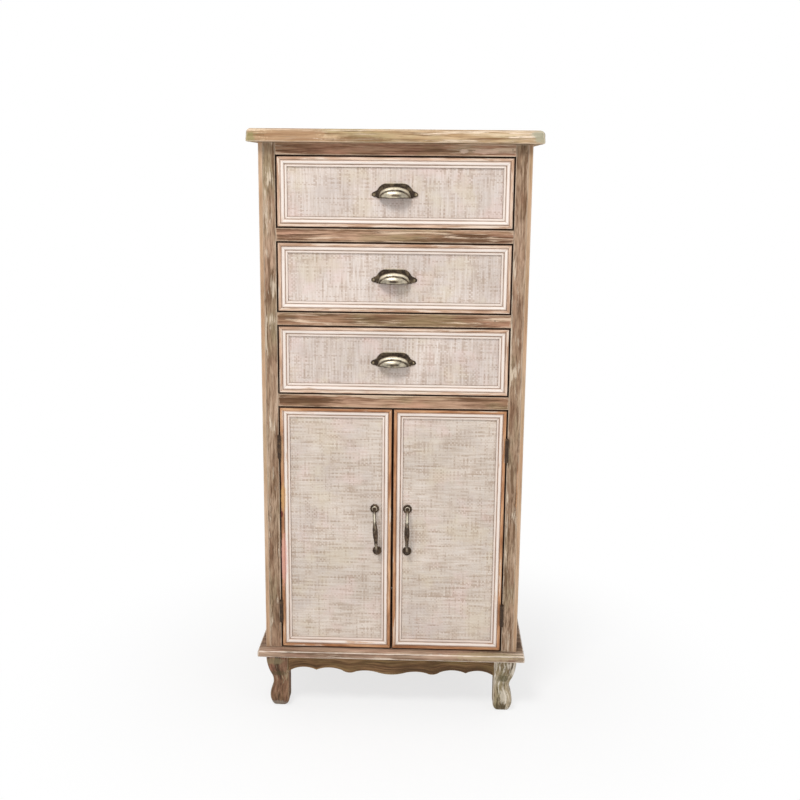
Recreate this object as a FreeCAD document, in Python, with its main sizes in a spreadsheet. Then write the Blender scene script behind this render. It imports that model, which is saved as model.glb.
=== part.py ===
import FreeCAD, Part
import os
import re
import Sketcher

# A tall free-standing cabinet: three drawers over a pair of doors, on short cabriole legs.
# Lengths are in millimetres. The origin is on the floor under the middle of the top panel,
# with +X to the right of someone facing the cabinet, +Y to its back and +Z up.

doc = FreeCAD.newDocument("cabinet")
sheet = doc.addObject("Spreadsheet::Sheet", "sizes")

SIZES = [
    # Outside sizes
    ("total_depth", 330.0, "front edge of the top to the back"),
    ("top_thickness", 22.5, "top panel"),
    ("top_round", 8.5, "round on the top panel's upper edge"),
    ("top_lower_round", 2.5, "round on the top panel's lower edge"),
    ("body_width", 471.0, "across the side panels"),
    ("front_overhang", 20.0, "top panel and base slab past the face of the posts"),
    ("top_side_overhang", 18.0, "top panel past each side panel"),
    ("base_side_overhang", 14.5, "base slab past each side panel"),
    ("base_thickness", 13.0, "base slab"),
    ("base_bevel", 5.0, "bevel on the base slab's upper edge"),
    ("base_lower_round", 2.5, "round on the base slab's lower edge"),
    ("leg_height", 112.5, "floor to base slab"),
    # Carcass
    ("side_thickness", 7.0, "side panels"),
    ("post_width", 22.0, "posts, left to right"),
    ("post_depth", 30.0, "front posts and rails, front to back"),
    ("back_post_depth", 24.0, "back posts, front to back"),
    ("back_thickness", 4.0, "back panel"),
    ("rail_height", 22.8, "rails between the openings"),
    ("top_rail_height", 21.0, "rail under the top"),
    ("drawer_opening", 124.5, "height of each drawer opening"),
    ("door_opening", 465.0, "height of the door opening"),
    ("shelf_thickness", 12.0, "cupboard shelf"),
    ("shelf_height", 232.0, "top of the base slab to the shelf's underside"),
    ("shelf_setback", 14.0, "shelf's front edge behind the front posts"),
    ("shelf_clearance", 0.3, "between the shelf and what is beside it"),
    ("cleat_size", 14.0, "shelf cleats, square"),
    ("runner_ledge", 14.0, "drawer runner past the posts, towards the middle"),
    ("runner_thickness", 12.0, "height of a drawer runner"),
    ("guide_height", 24.0, "height of a drawer guide"),
    # Legs and aprons
    ("leg_size", 42.0, "leg block, square"),
    ("leg_proud", 1.0, "leg's outer faces past the body"),
    ("knee_drop", 46.5, "slab down to the end of the knee's curve"),
    ("knee_inset", 8.0, "leg's outline there, in from the block"),
    ("knee_bulge", 2.6, "rise of the knee's curve"),
    ("ankle_height", 37.0, "floor to the end of the ankle's curve"),
    ("ankle_inset", 8.5, "leg's outline there, in from the block"),
    ("ankle_hollow", 3.4, "depth of the ankle's curve"),
    ("toe_inset", 13.5, "leg's outline at the floor, in from the block"),
    ("toe_bulge", 4.6, "rise of the foot's curve"),
    ("heel_height", 15.0, "height of the rounding inside the foot"),
    ("heel_depth", 8.0, "width of the rounding inside the foot"),
    ("heel_bulge", 2.0, "rise of the rounding inside the foot"),
    ("apron_thickness", 14.0, "aprons"),
    ("apron_inset", 2.5, "apron's face behind the leg's face"),
    ("apron_end", 38.0, "apron's depth where it meets a leg"),
    ("crest_drop", 28.3, "slab down to the high points of the scallops"),
    ("cusp_drop", 33.6, "slab down to the pointed cusps"),
    ("inner_crest_drop", 32.9, "slab down to the crests beside the middle"),
    ("trough_drop", 38.0, "slab down to the troughs"),
    ("middle_drop", 39.9, "slab down to the middle of the apron"),
    ("side_apron_drop", 36.0, "depth of the side aprons at their ends"),
    ("side_apron_arch", 7.0, "rise of the side aprons' lower edge"),
    # Drawer and door fronts
    ("reveal", 2.0, "gap round each drawer front and door"),
    ("door_meeting_gap", 2.5, "gap between the two doors"),
    ("frame_width", 17.5, "mitred frame, outer edge to inner edge"),
    ("frame_depth", 16.0, "mitred frame, front to back"),
    ("flat_width", 5.5, "plain outer part of the frame"),
    ("edge_break", 0.6, "small bevel on the frame's outer edge"),
    ("groove_width", 1.4, "groove between the plain part and the bead"),
    ("groove_depth", 1.5, "depth of that groove"),
    ("bead_width", 6.3, "half-round bead"),
    ("bead_fall", 1.2, "bead's inner side below its outer side"),
    ("bead_rise", 1.1, "rise of the bead"),
    ("quirk_width", 0.9, "thin groove inside the bead"),
    ("quirk_depth", 3.2, "its bottom, below the face"),
    ("lip_depth", 2.3, "inner lip's surface, below the face"),
    ("panel_recess", 5.0, "woven surface, below the face"),
    ("rabbet_width", 5.5, "frame over the panel's edge"),
    # Drawer boxes
    ("drawer_side_thickness", 10.0, "drawer sides and back"),
    ("drawer_side_height", 94.0, "drawer sides"),
    ("drawer_rear_gap", 3.0, "drawer's back to the back panel"),
    ("drawer_bottom_thickness", 4.0, "drawer bottom"),
    ("drawer_bottom_lift", 6.0, "under the drawer bottom"),
    ("drawer_groove", 4.0, "depth of the groove that holds the bottom"),
    ("run_gap", 0.3, "drawer side over its ledge"),
    # Cup pulls
    ("cup_width", 57.0, "cup, left to right"),
    ("cup_height", 20.5, "cup"),
    ("cup_projection", 20.5, "cup, out from the panel"),
    ("cup_dome", 25.0, "height that the cup's round would reach"),
    ("cup_wall", 1.6, "cup and flange"),
    ("flange_rise", 5.5, "flange above the cup"),
    ("flange_top_width", 30.0, "flange's straight upper edge"),
    ("flange_margin", 2.5, "flange's lower edge past the cup, on each side"),
    ("flange_round", 2.6, "rise of the flange's rounded shoulders"),
    ("ear_reach", 12.0, "ears past the cup, on each side"),
    ("ear_height", 6.2, "middle of the ears above the flange's lower edge"),
    ("ear_size", 9.2, "height of an ear"),
    ("ear_round", 4.0, "rise of an ear's rounded end"),
    ("ear_shoulder", 12.5, "height at which an ear leaves the flange"),
    ("cup_screw_reach", 7.3, "screws past the cup, on each side"),
    ("cup_rise", -9.5, "cup's lower edge from the middle of its opening"),
    ("cup_screw_radius", 1.2, "screw shank"),
    ("cup_screw_head", 2.7, "screw head's radius"),
    ("cup_screw_length", 9.5, "screw shank under the head"),
    # Bow pulls
    ("bow_spacing", 81.0, "between the rosettes' centres"),
    ("bow_rise", 234.5, "top of the base slab up to the middle of the pulls"),
    ("bow_inset", 9.25, "frame's inner edge to the middle of the right pull"),
    ("bow_inset_left", 11.05, "the same for the left pull, which hangs a little off"),
    ("bow_tilt", 3.6, "lean of the left pull, in degrees"),
    ("bow_reach", 19.5, "panel to the middle of the grip"),
    ("bow_radius", 2.8, "thin part of the bow"),
    ("bow_bend", 12.0, "radius of the bow's bends"),
    ("grip_radius", 5.0, "thickest part of the grip"),
    ("grip_length", 40.0, "length of the swelling"),
    ("rosette_radius", 8.4, "rosette"),
    ("rosette_rim", 1.6, "rosette's edge"),
    ("rosette_height", 4.6, "rosette, panel to neck"),
    ("rosette_neck", 3.8, "radius of the rosette's flat front"),
    ("rosette_dome", 1.1, "rise of the rosette's rounded face"),
    ("bolt_radius", 1.9, "pull bolt"),
    ("bolt_in_pull", 5.0, "bolt inside the pull"),
    ("bolt_head_radius", 3.6, "pull bolt's head"),
    ("bolt_head_height", 2.4, "pull bolt's head"),
    ("screw_gap", 0.05, "clearance round a screw"),
    # Hinges
    ("hinge_length", 42.0, "barrel without the pin's heads"),
    ("barrel_radius", 3.2, "barrel"),
    ("barrel_clearance", 0.2, "barrel to the face of the cabinet"),
    ("hinge_pin_radius", 1.3, "pin"),
    ("hinge_pin_clearance", 0.05, "pin in its knuckles"),
    ("hinge_pin_head", 1.0, "height of a pin's head"),
    ("hinge_pin_head_radius", 2.5, "radius of a pin's head"),
    ("knuckle_gap", 0.2, "between knuckles"),
    ("leaf_width", 14.0, "leaf, front to back"),
    ("leaf_gap", 0.2, "between the two closed leaves"),
    ("hinge_upper_drop", 74.5, "top of the door opening down to the middle of the upper hinges"),
    ("hinge_lower_rise", 73.8, "top of the base slab up to the middle of the lower hinges"),
    # Catches
    ("strike_thickness", 1.0, "strike plate"),
    ("strike_width", 16.0, "strike plate, left to right"),
    ("strike_height", 12.0, "strike plate"),
    ("strike_inset", 26.0, "middle line of the cabinet to a catch"),
    ("catch_gap", 0.3, "strike plate to the catch"),
    ("catch_width", 30.0, "catch, left to right"),
    ("catch_height", 13.0, "catch"),
    ("catch_depth", 16.0, "catch, front to back"),
    # Shaping
    ("overcut", 1.0, "how far a cut runs past the piece it is made in"),
]

for row, (alias, value, meaning) in enumerate(SIZES, start=1):
    sheet.set(f"A{row}", alias)
    sheet.set(f"B{row}", str(value))
    sheet.set(f"C{row}", meaning)
    sheet.setAlias(f"B{row}", alias)
doc.recompute()

ALIAS = re.compile(r"\b(" + "|".join(alias for alias, value, meaning in SIZES) + r")\b")


def cell(expression):
    """An expression of size names, written with the sheet's own references."""
    return ALIAS.sub(lambda found: "sizes." + found.group(0), str(expression))


def number(expression):
    """The value of an expression of size names."""
    return float(sheet.evalExpression(cell(expression)))


def named(object_, label):
    """Give an object its label and hand it back."""
    object_.Label = label
    return object_


# Places that several pieces share, each worked out from the sizes above.
FACE = "(front_overhang - total_depth / 2)"
BACK = "(total_depth / 2)"
BODY_HALF = "(body_width / 2)"
INNER_HALF = "(body_width / 2 - side_thickness)"
OPENING_HALF = "(body_width / 2 - side_thickness - post_width)"
POST_BACK = f"({FACE} + post_depth)"
BACK_PANEL_FACE = f"({BACK} - back_thickness)"
BACK_POST_FACE = f"({BACK_PANEL_FACE} - back_post_depth)"
BASE_TOP = "(leg_height + base_thickness)"
BOW_MIDDLE = f"({BASE_TOP} + bow_rise)"
CUP_SCREW_X = "(cup_width / 2 + cup_screw_reach)"
DOOR_TOP = f"({BASE_TOP} + door_opening)"
PITCH = "(rail_height + drawer_opening)"
TOP_UNDERSIDE = f"({DOOR_TOP} + 3 * {PITCH} + top_rail_height)"
FRONT_BACK = f"({FACE} + frame_depth)"
PANEL_FACE = f"({FACE} + panel_recess)"
PANEL_INSET = "(frame_width - rabbet_width)"
DRAWER_HALF = f"({OPENING_HALF} - reveal)"
HINGE_X = f"({OPENING_HALF} - reveal / 2)"
HINGE_Y = f"({FACE} - barrel_radius - barrel_clearance)"


def opening_bottom(level):
    """Lower edge of a drawer opening: level 0 is the lowest drawer."""
    return f"({DOOR_TOP} + rail_height + {level} * {PITCH})"


# Small tools for boards, turned pieces and outlines.


def place(object_, x=0, y=0, z=0, axis=None, angle=0):
    """Put an object at a point given as expressions, turned by an angle about an axis."""
    turn = FreeCAD.Rotation(axis, angle) if axis else FreeCAD.Rotation()
    object_.Placement = FreeCAD.Placement(FreeCAD.Vector(), turn)
    for letter, expression in (("x", x), ("y", y), ("z", z)):
        object_.setExpression(f"Placement.Base.{letter}", cell(expression))
    return object_


def board(label, x, y, z):
    """A board between two corners: x, y and z each give the low and the high side."""
    box = named(doc.addObject("Part::Box", label), label)
    for size, (low, high) in (("Length", x), ("Width", y), ("Height", z)):
        box.setExpression(size, cell(f"({high}) - ({low})"))
    return place(box, x[0], y[0], z[0])


def rod(label, radius, length, x, y, z, axis=None, angle=0):
    """A cylinder that starts at a point and runs along +Z, or along that way once turned."""
    cylinder = named(doc.addObject("Part::Cylinder", label), label)
    cylinder.setExpression("Radius", cell(radius))
    cylinder.setExpression("Height", cell(length))
    return place(cylinder, x, y, z, axis, angle)


def fuse(label, pieces):
    """One solid from several that touch."""
    fusion = named(doc.addObject("Part::MultiFuse", label), label)
    fusion.Shapes = pieces
    fusion.Refine = True
    return fusion


def cut(label, base, tool):
    """A piece with another one taken away."""
    result = named(doc.addObject("Part::Cut", label), label)
    result.Base = base
    result.Tool = tool
    return result


def group(label, pieces):
    """Separate solids that share one name."""
    compound = named(doc.addObject("Part::Compound", label), label)
    compound.Links = pieces
    return compound


def sketch_on(body, plane, label):
    """A sketch on one of a body's own origin planes."""
    sketch = named(body.newObject("Sketcher::SketchObject", label), label)
    support = [feature for feature in body.Origin.OriginFeatures if feature.Role == plane]
    sketch.AttachmentSupport = [(support[0], "")]
    sketch.MapMode = "FlatFace"
    return sketch


def bind(sketch, kind, geometry, point, value):
    """Tie one coordinate of a point of a sketch to an expression."""
    index = sketch.addConstraint(Sketcher.Constraint(kind, -1, 1, geometry, point, number(value)))
    sketch.setExpression(f"Constraints[{index}]", cell(value))


def outline(sketch, corners, closed=True):
    """Draw a line through corners. A corner is (x, y) or (x, y, rise): with a rise, the way to
    the next corner is an arc that stands that far out to the right of it."""
    first = sketch.GeometryCount
    points = [FreeCAD.Vector(number(corner[0]), number(corner[1]), 0) for corner in corners]
    pieces = len(corners) if closed else len(corners) - 1
    ends = []
    for index, corner in enumerate(corners[:pieces]):
        start = points[index]
        end = points[(index + 1) % len(points)]
        if len(corner) == 2:
            sketch.addGeometry(Part.LineSegment(start, end), False)
            ends.append((1, 2))
            continue
        way = end - start
        side = FreeCAD.Vector(way.y, -way.x, 0).normalize()
        rise = number(corner[2])
        middle = (start + end) * 0.5 + side * rise
        # An arc runs against the clock, so one that bends to the left starts at its far end.
        near, far = (start, end) if rise > 0 else (end, start)
        sketch.addGeometry(Part.Arc(near, middle, far), False)
        ends.append((1, 2) if rise > 0 else (2, 1))
    for index, corner in enumerate(corners[:pieces]):
        after = (index + 1) % len(corners)
        here = first + index
        if after < pieces:
            joint = Sketcher.Constraint("Coincident", here, ends[index][1], first + after, ends[after][0])
            sketch.addConstraint(joint)
        else:
            bind(sketch, "DistanceX", here, ends[index][1], corners[after][0])
            bind(sketch, "DistanceY", here, ends[index][1], corners[after][1])
        bind(sketch, "DistanceX", here, ends[index][0], corner[0])
        bind(sketch, "DistanceY", here, ends[index][0], corner[1])
        if len(corner) == 3:
            next_x, next_y = corners[after][:2]
            chord = f"((({next_x}) - ({corner[0]})) ^ 2 + (({next_y}) - ({corner[1]})) ^ 2)"
            radius = f"({chord} / 4 + ({corner[2]}) ^ 2) / (2 * abs({corner[2]}))"
            tie = sketch.addConstraint(Sketcher.Constraint("Radius", here, number(radius)))
            sketch.setExpression(f"Constraints[{tie}]", cell(radius))


def new_body(label):
    """An empty body."""
    return named(doc.addObject("PartDesign::Body", label), label)


def pad(body, sketch, length, backwards=False):
    """Thicken a sketch into a solid."""
    feature = body.newObject("PartDesign::Pad", f"{body.Label}_pad")
    feature.Profile = sketch
    feature.setExpression("Length", cell(length))
    feature.Reversed = backwards
    doc.recompute()
    return feature


def pocket(body, sketch):
    """Cut a sketch right through a body, on both sides of its plane."""
    before = body.Shape.Volume
    feature = body.newObject("PartDesign::Pocket", f"{body.Label}_pocket")
    feature.Profile = sketch
    feature.Type = "ThroughAll"
    feature.Midplane = True
    doc.recompute()
    if not body.Shape.Volume < before:
        raise RuntimeError(f"a pocket in {body.Label} cuts nothing")
    return feature


def dress(body, kind, base, test, size, expression):
    """A fillet or chamfer on the edges of a feature that pass a test of their middle point."""
    names = []
    for index, edge in enumerate(base.Shape.Edges, start=1):
        if test(edge.BoundBox.Center, edge):
            names.append(f"Edge{index}")
    feature = body.newObject(f"PartDesign::{kind}", f"{body.Label}_{kind.lower()}")
    feature.Base = (base, names)
    feature.setExpression(size, cell(expression))
    doc.recompute()
    return feature


# How close two places have to be to count as the same one.
NEAR = 0.01
X_AXIS = FreeCAD.Vector(1, 0, 0)
Y_AXIS = FreeCAD.Vector(0, 1, 0)
Z_AXIS = FreeCAD.Vector(0, 0, 1)
SIDES = (("left", -1), ("right", 1))
DRAWERS = (("bottom", 0), ("middle", 1), ("top", 2))

nodes = []


def keep(object_):
    """Count an object as one of the cabinet's named pieces."""
    nodes.append(object_)
    return object_


# Top panel and base slab: a board with its front and side edges worked, and a plain back edge.


def edged_slab(label, width, z, thickness, upper, lower):
    """A slab as wide as given and as deep as the cabinet. upper and lower each give the kind of
    edge, the name of its size and the size."""
    body = new_body(label)
    plan = sketch_on(body, "XY_Plane", f"{label}_plan")
    half = f"({width} / 2)"
    front = "(-total_depth / 2)"
    outline(plan, [(f"-{half}", front), (half, front), (half, BACK), (f"-{half}", BACK)])
    last = pad(body, plan, thickness)
    back = number(BACK)
    for (kind, size, expression), height in ((upper, number(thickness)), (lower, 0.0)):
        last = dress(
            body,
            kind,
            last,
            lambda middle, edge, level=height: abs(middle.z - level) < NEAR
            and edge.BoundBox.ZLength < NEAR
            and middle.y < back - NEAR,
            size,
            expression,
        )
    return keep(place(body, z=z))


edged_slab(
    "top_panel",
    "(body_width + 2 * top_side_overhang)",
    TOP_UNDERSIDE,
    "top_thickness",
    ("Fillet", "Radius", "top_round"),
    ("Fillet", "Radius", "top_lower_round"),
)
edged_slab(
    "base_panel",
    "(body_width + 2 * base_side_overhang)",
    "leg_height",
    "base_thickness",
    ("Chamfer", "Size", "base_bevel"),
    ("Fillet", "Radius", "base_lower_round"),
)

# Carcass: side panels outside the posts, rails between the front posts, and the back panel let
# in between the side panels, behind the back posts.


def mirrored_x(near, far, sign):
    """The low and high sides of a stretch from near to far, on one side of the middle."""
    return (near, far) if sign > 0 else (f"-{far}", f"-{near}")


HEIGHT = (BASE_TOP, TOP_UNDERSIDE)
for side, sign in SIDES:
    across = mirrored_x(OPENING_HALF, INNER_HALF, sign)
    keep(board(f"side_panel_{side}", mirrored_x(INNER_HALF, BODY_HALF, sign), (FACE, BACK), HEIGHT))
    keep(board(f"post_front_{side}", across, (FACE, POST_BACK), HEIGHT))
    keep(board(f"post_back_{side}", across, (BACK_POST_FACE, BACK_PANEL_FACE), HEIGHT))

keep(board("back_panel", (f"-{INNER_HALF}", INNER_HALF), (BACK_PANEL_FACE, BACK), HEIGHT))

RAIL_ACROSS = (f"-{OPENING_HALF}", OPENING_HALF)
for name, level in (("lower", 0), ("middle", 1), ("upper", 2)):
    rail_bottom = f"({opening_bottom(level)} - rail_height)"
    height = (rail_bottom, opening_bottom(level))
    keep(board(f"rail_{name}", RAIL_ACROSS, (FACE, POST_BACK), height))
top_rail = (f"({TOP_UNDERSIDE} - top_rail_height)", TOP_UNDERSIDE)
keep(board("rail_top", RAIL_ACROSS, (FACE, POST_BACK), top_rail))

# Drawer runners and guides: strips on the side panels, between the front and back posts. A drawer
# slides on the runners, between the guides that stand on them.
runners = []
guides = []
RUN = (POST_BACK, BACK_POST_FACE)
for name, level in DRAWERS:
    floor = opening_bottom(level)
    for side, sign in SIDES:
        across = mirrored_x(f"({OPENING_HALF} - runner_ledge)", INNER_HALF, sign)
        height = (f"({floor} - runner_thickness)", floor)
        runners.append(board(f"runner_{name}_{side}", across, RUN, height))
        across = mirrored_x(OPENING_HALF, INNER_HALF, sign)
        height = (floor, f"({floor} + guide_height)")
        guides.append(board(f"guide_{name}_{side}", across, RUN, height))
keep(group("drawer_runners", runners))
keep(group("drawer_guides", guides))

# Cupboard shelf on two cleats.
SHELF_BOTTOM = f"({BASE_TOP} + shelf_height)"
shelf_half = f"({INNER_HALF} - shelf_clearance)"
keep(
    board(
        "shelf",
        (f"-{shelf_half}", shelf_half),
        (f"({POST_BACK} + shelf_setback)", f"({BACK_POST_FACE} - shelf_clearance)"),
        (SHELF_BOTTOM, f"({SHELF_BOTTOM} + shelf_thickness)"),
    )
)
cleats = []
for side, sign in SIDES:
    across = mirrored_x(f"({INNER_HALF} - cleat_size)", INNER_HALF, sign)
    cleats.append(board(f"cleat_{side}", across, RUN, (f"({SHELF_BOTTOM} - cleat_size)", SHELF_BOTTOM)))
keep(group("shelf_cleats", cleats))

# Legs: a block whose outer faces follow the knee, the ankle and the foot. The outline is given
# by how far it lies in from the block's outer face.


def leg_outline(inward):
    """Corners of the leg's outline, with inward +1 or -1 for the way from the outer face to the
    inner one along the sketch's first axis."""
    knee = "(leg_height - knee_drop)"
    points = [
        ("0", "leg_height", f"{inward} * knee_bulge"),
        ("knee_inset", knee, f"-{inward} * ankle_hollow"),
        ("ankle_inset", "ankle_height", f"{inward} * toe_bulge"),
        ("toe_inset", "0"),
        ("(leg_size - heel_depth)", "0", f"{inward} * heel_bulge"),
        ("leg_size", "heel_height"),
        ("leg_size", "leg_height"),
    ]
    return [(f"({inward} * {point[0]})", *point[1:]) for point in points]


def leg_block(label, plane, inward, backwards):
    """The leg as it looks from one side, padded to the block's width."""
    body = new_body(label)
    face = sketch_on(body, plane, f"{label}_face")
    outline(face, leg_outline(inward))
    pad(body, face, "leg_size", backwards)
    return body


def leg(label, both_faces, x, y, angle):
    """A leg with its outer corner at a point. A front leg is shaped on both outer faces, a back
    leg on its side face alone."""
    side_view = leg_block(f"{label}_side", "XZ_Plane", -1, True)
    if not both_faces:
        side_view.Label = label
        return keep(place(side_view, x, y, "0", Z_AXIS, angle))
    front_view = leg_block(f"{label}_front", "YZ_Plane", 1, True)
    both = named(doc.addObject("Part::Common", label), label)
    both.Base = side_view
    both.Tool = front_view
    return keep(place(both, x, y, "0", Z_AXIS, angle))


LEG_X = f"({BODY_HALF} + leg_proud)"
LEG_FRONT = f"({FACE} - leg_proud)"
leg("leg_front_right", True, LEG_X, LEG_FRONT, 0)
leg("leg_front_left", True, f"-{LEG_X}", LEG_FRONT, -90)
leg("leg_back_right", False, LEG_X, f"({BACK} - leg_size)", 0)
leg("leg_back_left", False, f"-{LEG_X}", BACK, 180)

# Aprons: the front one has scallops, the side ones a shallow arch.
APRON_HALF = f"({LEG_X} - leg_size)"

# The lower edge from the middle to a leg: the share of the half width, the drop there, and the
# drop that the arc to the next point reaches.
SCALLOPS = (
    ("0.125", "((middle_drop + inner_crest_drop) / 2)", "inner_crest_drop"),
    ("0.345", "((inner_crest_drop + trough_drop) / 2)", "trough_drop"),
    ("0.475", "((trough_drop + crest_drop) / 2)", "crest_drop"),
    ("0.727", "cusp_drop", "crest_drop"),
    ("1", "apron_end", None),
)


def scalloped_edge():
    """Corners of the lower edge from the left leg to the right one: an arc that drops past its
    ends is a lobe, one that drops less is a hollow."""
    across = [f"({share} * {APRON_HALF})" for share, drop, reached in SCALLOPS]
    heights = [f"(leg_height - {drop})" for share, drop, reached in SCALLOPS]
    rises = []
    for (share, drop, reached), (next_share, next_drop, next_reached) in zip(SCALLOPS, SCALLOPS[1:]):
        rises.append(f"({reached} - ({drop} + {next_drop}) / 2)")
    right = list(zip(across, heights, rises))
    left = [(f"-{x}", height, rise) for x, height, rise in zip(across[:0:-1], heights[:0:-1], rises[::-1])]
    middle = (f"-{across[0]}", heights[0], f"(middle_drop - {SCALLOPS[0][1]})")
    return [*left, middle, *right, (across[-1], heights[-1])]


def apron_body(label, plane, corners, backwards):
    """An apron padded from the outline of its outer face."""
    body = new_body(label)
    face = sketch_on(body, plane, f"{label}_face")
    outline(face, corners)
    pad(body, face, "apron_thickness", backwards)
    return keep(body)


front_corners = scalloped_edge() + [(APRON_HALF, "leg_height"), (f"-{APRON_HALF}", "leg_height")]
apron = apron_body("apron_front", "XZ_Plane", front_corners, True)
place(apron, y=f"({LEG_FRONT} + apron_inset)")

side_low = "(leg_height - side_apron_drop)"
side_start = f"({LEG_FRONT} + leg_size)"
side_end = f"({BACK} - leg_size)"
for side, sign in SIDES:
    corners = [
        (side_start, side_low, "-side_apron_arch"),
        (side_end, side_low),
        (side_end, "leg_height"),
        (side_start, "leg_height"),
    ]
    apron = apron_body(f"apron_{side}", "YZ_Plane", corners, sign > 0)
    place(apron, x=f"{sign} * ({LEG_X} - apron_inset)")

# Mitred frames round the drawer fronts and doors.


def frame_section():
    """Corners of the moulding's section: depth below the face, then distance from the outer
    edge. The bead is an arc, and the rabbet at the back holds the panel's edge."""
    bead = "(flat_width + groove_width)"
    bead_end = f"({bead} + bead_width)"
    lip = f"({bead_end} + quirk_width)"
    return [
        ("frame_depth", "0"),
        ("frame_depth", PANEL_INSET),
        ("panel_recess", PANEL_INSET),
        ("panel_recess", "frame_width"),
        ("lip_depth", "frame_width"),
        ("lip_depth", lip),
        ("quirk_depth", lip),
        ("quirk_depth", bead_end),
        ("bead_fall", bead_end, "-bead_rise"),
        ("0", bead),
        ("groove_depth", "(flat_width + groove_width / 2)"),
        ("0", "flat_width"),
        ("0", "edge_break"),
        ("edge_break", "0"),
    ]


def strip(label, length, x, z, angle):
    """One length of moulding along local +X, its outer edge down, with both ends mitred. It is
    turned about the line from front to back."""
    body = new_body(label)
    section = sketch_on(body, "YZ_Plane", f"{label}_section")
    outline(section, frame_section())
    pad(body, section, length)
    past = "(frame_width + overcut)"
    for end, start, way in (("near", "0", 1), ("far", length, -1)):
        mitre = sketch_on(body, "XZ_Plane", f"{label}_{end}_mitre")
        corners = [
            (f"({start} - {way} * overcut)", "-overcut"),
            (f"({start} + {way} * {past})", past),
            (f"({start} - {way} * overcut)", past),
        ]
        outline(mitre, corners)
        pocket(body, mitre)
    return place(body, x, FACE, z, Y_AXIS, angle)


def mitred_frame(label, x, z):
    """A frame of four mitred strips between two corners."""
    width = f"({x[1]} - {x[0]})"
    height = f"({z[1]} - {z[0]})"
    strips = [
        strip(f"{label}_lower", width, x[0], z[0], 0),
        strip(f"{label}_right", height, x[1], z[0], -90),
        strip(f"{label}_upper", width, x[1], z[1], 180),
        strip(f"{label}_left", height, x[0], z[1], 90),
    ]
    return keep(group(label, strips))


def panel_board(label, x, z, holes):
    """The woven-faced board inside a frame, with a hole for each screw: (x, z, radius)."""
    inside = (f"({x[0]} + {PANEL_INSET})", f"({x[1]} - {PANEL_INSET})")
    height = (f"({z[0]} + {PANEL_INSET})", f"({z[1]} - {PANEL_INSET})")
    blank = board(f"{label}_blank", inside, (PANEL_FACE, FRONT_BACK), height)
    drills = []
    for index, (hole_x, hole_z, radius) in enumerate(holes):
        name = f"{label}_drill_{index}"
        start = f"({PANEL_FACE} - overcut)"
        length = "(frame_depth - panel_recess + 2 * overcut)"
        drills.append(rod(name, radius, length, hole_x, start, hole_z, X_AXIS, -90))
    return keep(cut(label, blank, fuse(f"{label}_drills", drills)))


# Cup pulls. Local axes: x along the drawer, y away from the reader into the panel, z up, with
# the origin on the panel's surface in the middle of the flange's lower edge.


def quarter_dome(label, half_width, projection, rise, top):
    """A quarter of an ellipsoid that stands on the panel, cut flat at the top."""
    dome = named(doc.addObject("Part::Ellipsoid", f"{label}_dome"), f"{label}_dome")
    dome.setExpression("Radius1", cell(rise))
    dome.setExpression("Radius2", cell(half_width))
    dome.setExpression("Radius3", cell(projection))
    dome.Angle1 = 0
    dome.Angle2 = 90
    dome.Angle3 = 360
    reach = f"({projection} + overcut)"
    side = f"({half_width} + overcut)"
    clip = board(
        f"{label}_clip",
        (f"-{side}", side),
        (f"-{reach}", "0"),
        ("-overcut", top),
    )
    common = named(doc.addObject("Part::Common", label), label)
    common.Base = dome
    common.Tool = clip
    return common


def cup_flange(label):
    """The plate behind the cup: straight at the top, with an ear at each end."""
    body = new_body(label)
    face = sketch_on(body, "XZ_Plane", f"{label}_face")
    top = "(flange_top_width / 2)"
    high = "(cup_height + flange_rise)"
    foot = "(cup_width / 2 + flange_margin)"
    ear = "(cup_width / 2 + ear_reach - ear_round)"
    ear_low = "(ear_height - ear_size / 2)"
    ear_high = "(ear_height + ear_size / 2)"
    outline(
        face,
        [
            (f"-{foot}", "0"),
            (foot, "0"),
            (ear, ear_low, "ear_round"),
            (ear, ear_high),
            (foot, "ear_shoulder", "flange_round"),
            (top, high),
            (f"-{top}", high, "flange_round"),
            (f"-{foot}", "ear_shoulder"),
            (f"-{ear}", ear_high, "ear_round"),
            (f"-{ear}", ear_low),
        ],
    )
    pad(body, face, "cup_wall")
    return body


def cup_pull(label, z):
    """A half-round cup on a flange, open underneath, with a screw hole in each ear."""
    outer = quarter_dome(f"{label}_outer", "(cup_width / 2)", "cup_projection", "cup_dome", "cup_height")
    inner = quarter_dome(
        f"{label}_inner",
        "(cup_width / 2 - cup_wall)",
        "(cup_projection - cup_wall)",
        "(cup_dome - cup_wall)",
        "(cup_height - cup_wall)",
    )
    body = fuse(f"{label}_body", [outer, cup_flange(f"{label}_flange")])
    tools = [inner]
    for side, sign in SIDES:
        x = f"{sign} * {CUP_SCREW_X}"
        radius = "(cup_screw_radius + screw_gap)"
        hole = f"{label}_hole_{side}"
        start = "-(cup_wall + overcut)"
        length = "(cup_wall + 2 * overcut)"
        tools.append(rod(hole, radius, length, x, start, "ear_height", X_AXIS, -90))
    pull = cut(label, body, fuse(f"{label}_tools", tools))
    return keep(place(pull, "0", PANEL_FACE, z))


def cup_screws(label, z):
    """Round-headed screws through the ears into the board."""
    screws = []
    for side, sign in SIDES:
        name = f"{label}_{side}"
        head = named(doc.addObject("Part::Sphere", f"{name}_head"), f"{name}_head")
        head.setExpression("Radius", cell("cup_screw_head"))
        head.Angle1 = 0
        shank = rod(f"{name}_shank", "cup_screw_radius", "cup_screw_length", "0", "0", "-cup_screw_length")
        screw = fuse(name, [head, shank])
        x = f"{sign} * {CUP_SCREW_X}"
        screws.append(place(screw, x, f"({PANEL_FACE} - cup_wall)", f"({z} + ear_height)", X_AXIS, 90))
    return keep(group(label, screws))


# Bow pulls. Local axes: z along the pull, y into the panel, with the origin on the panel's
# surface midway between the rosettes.


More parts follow.
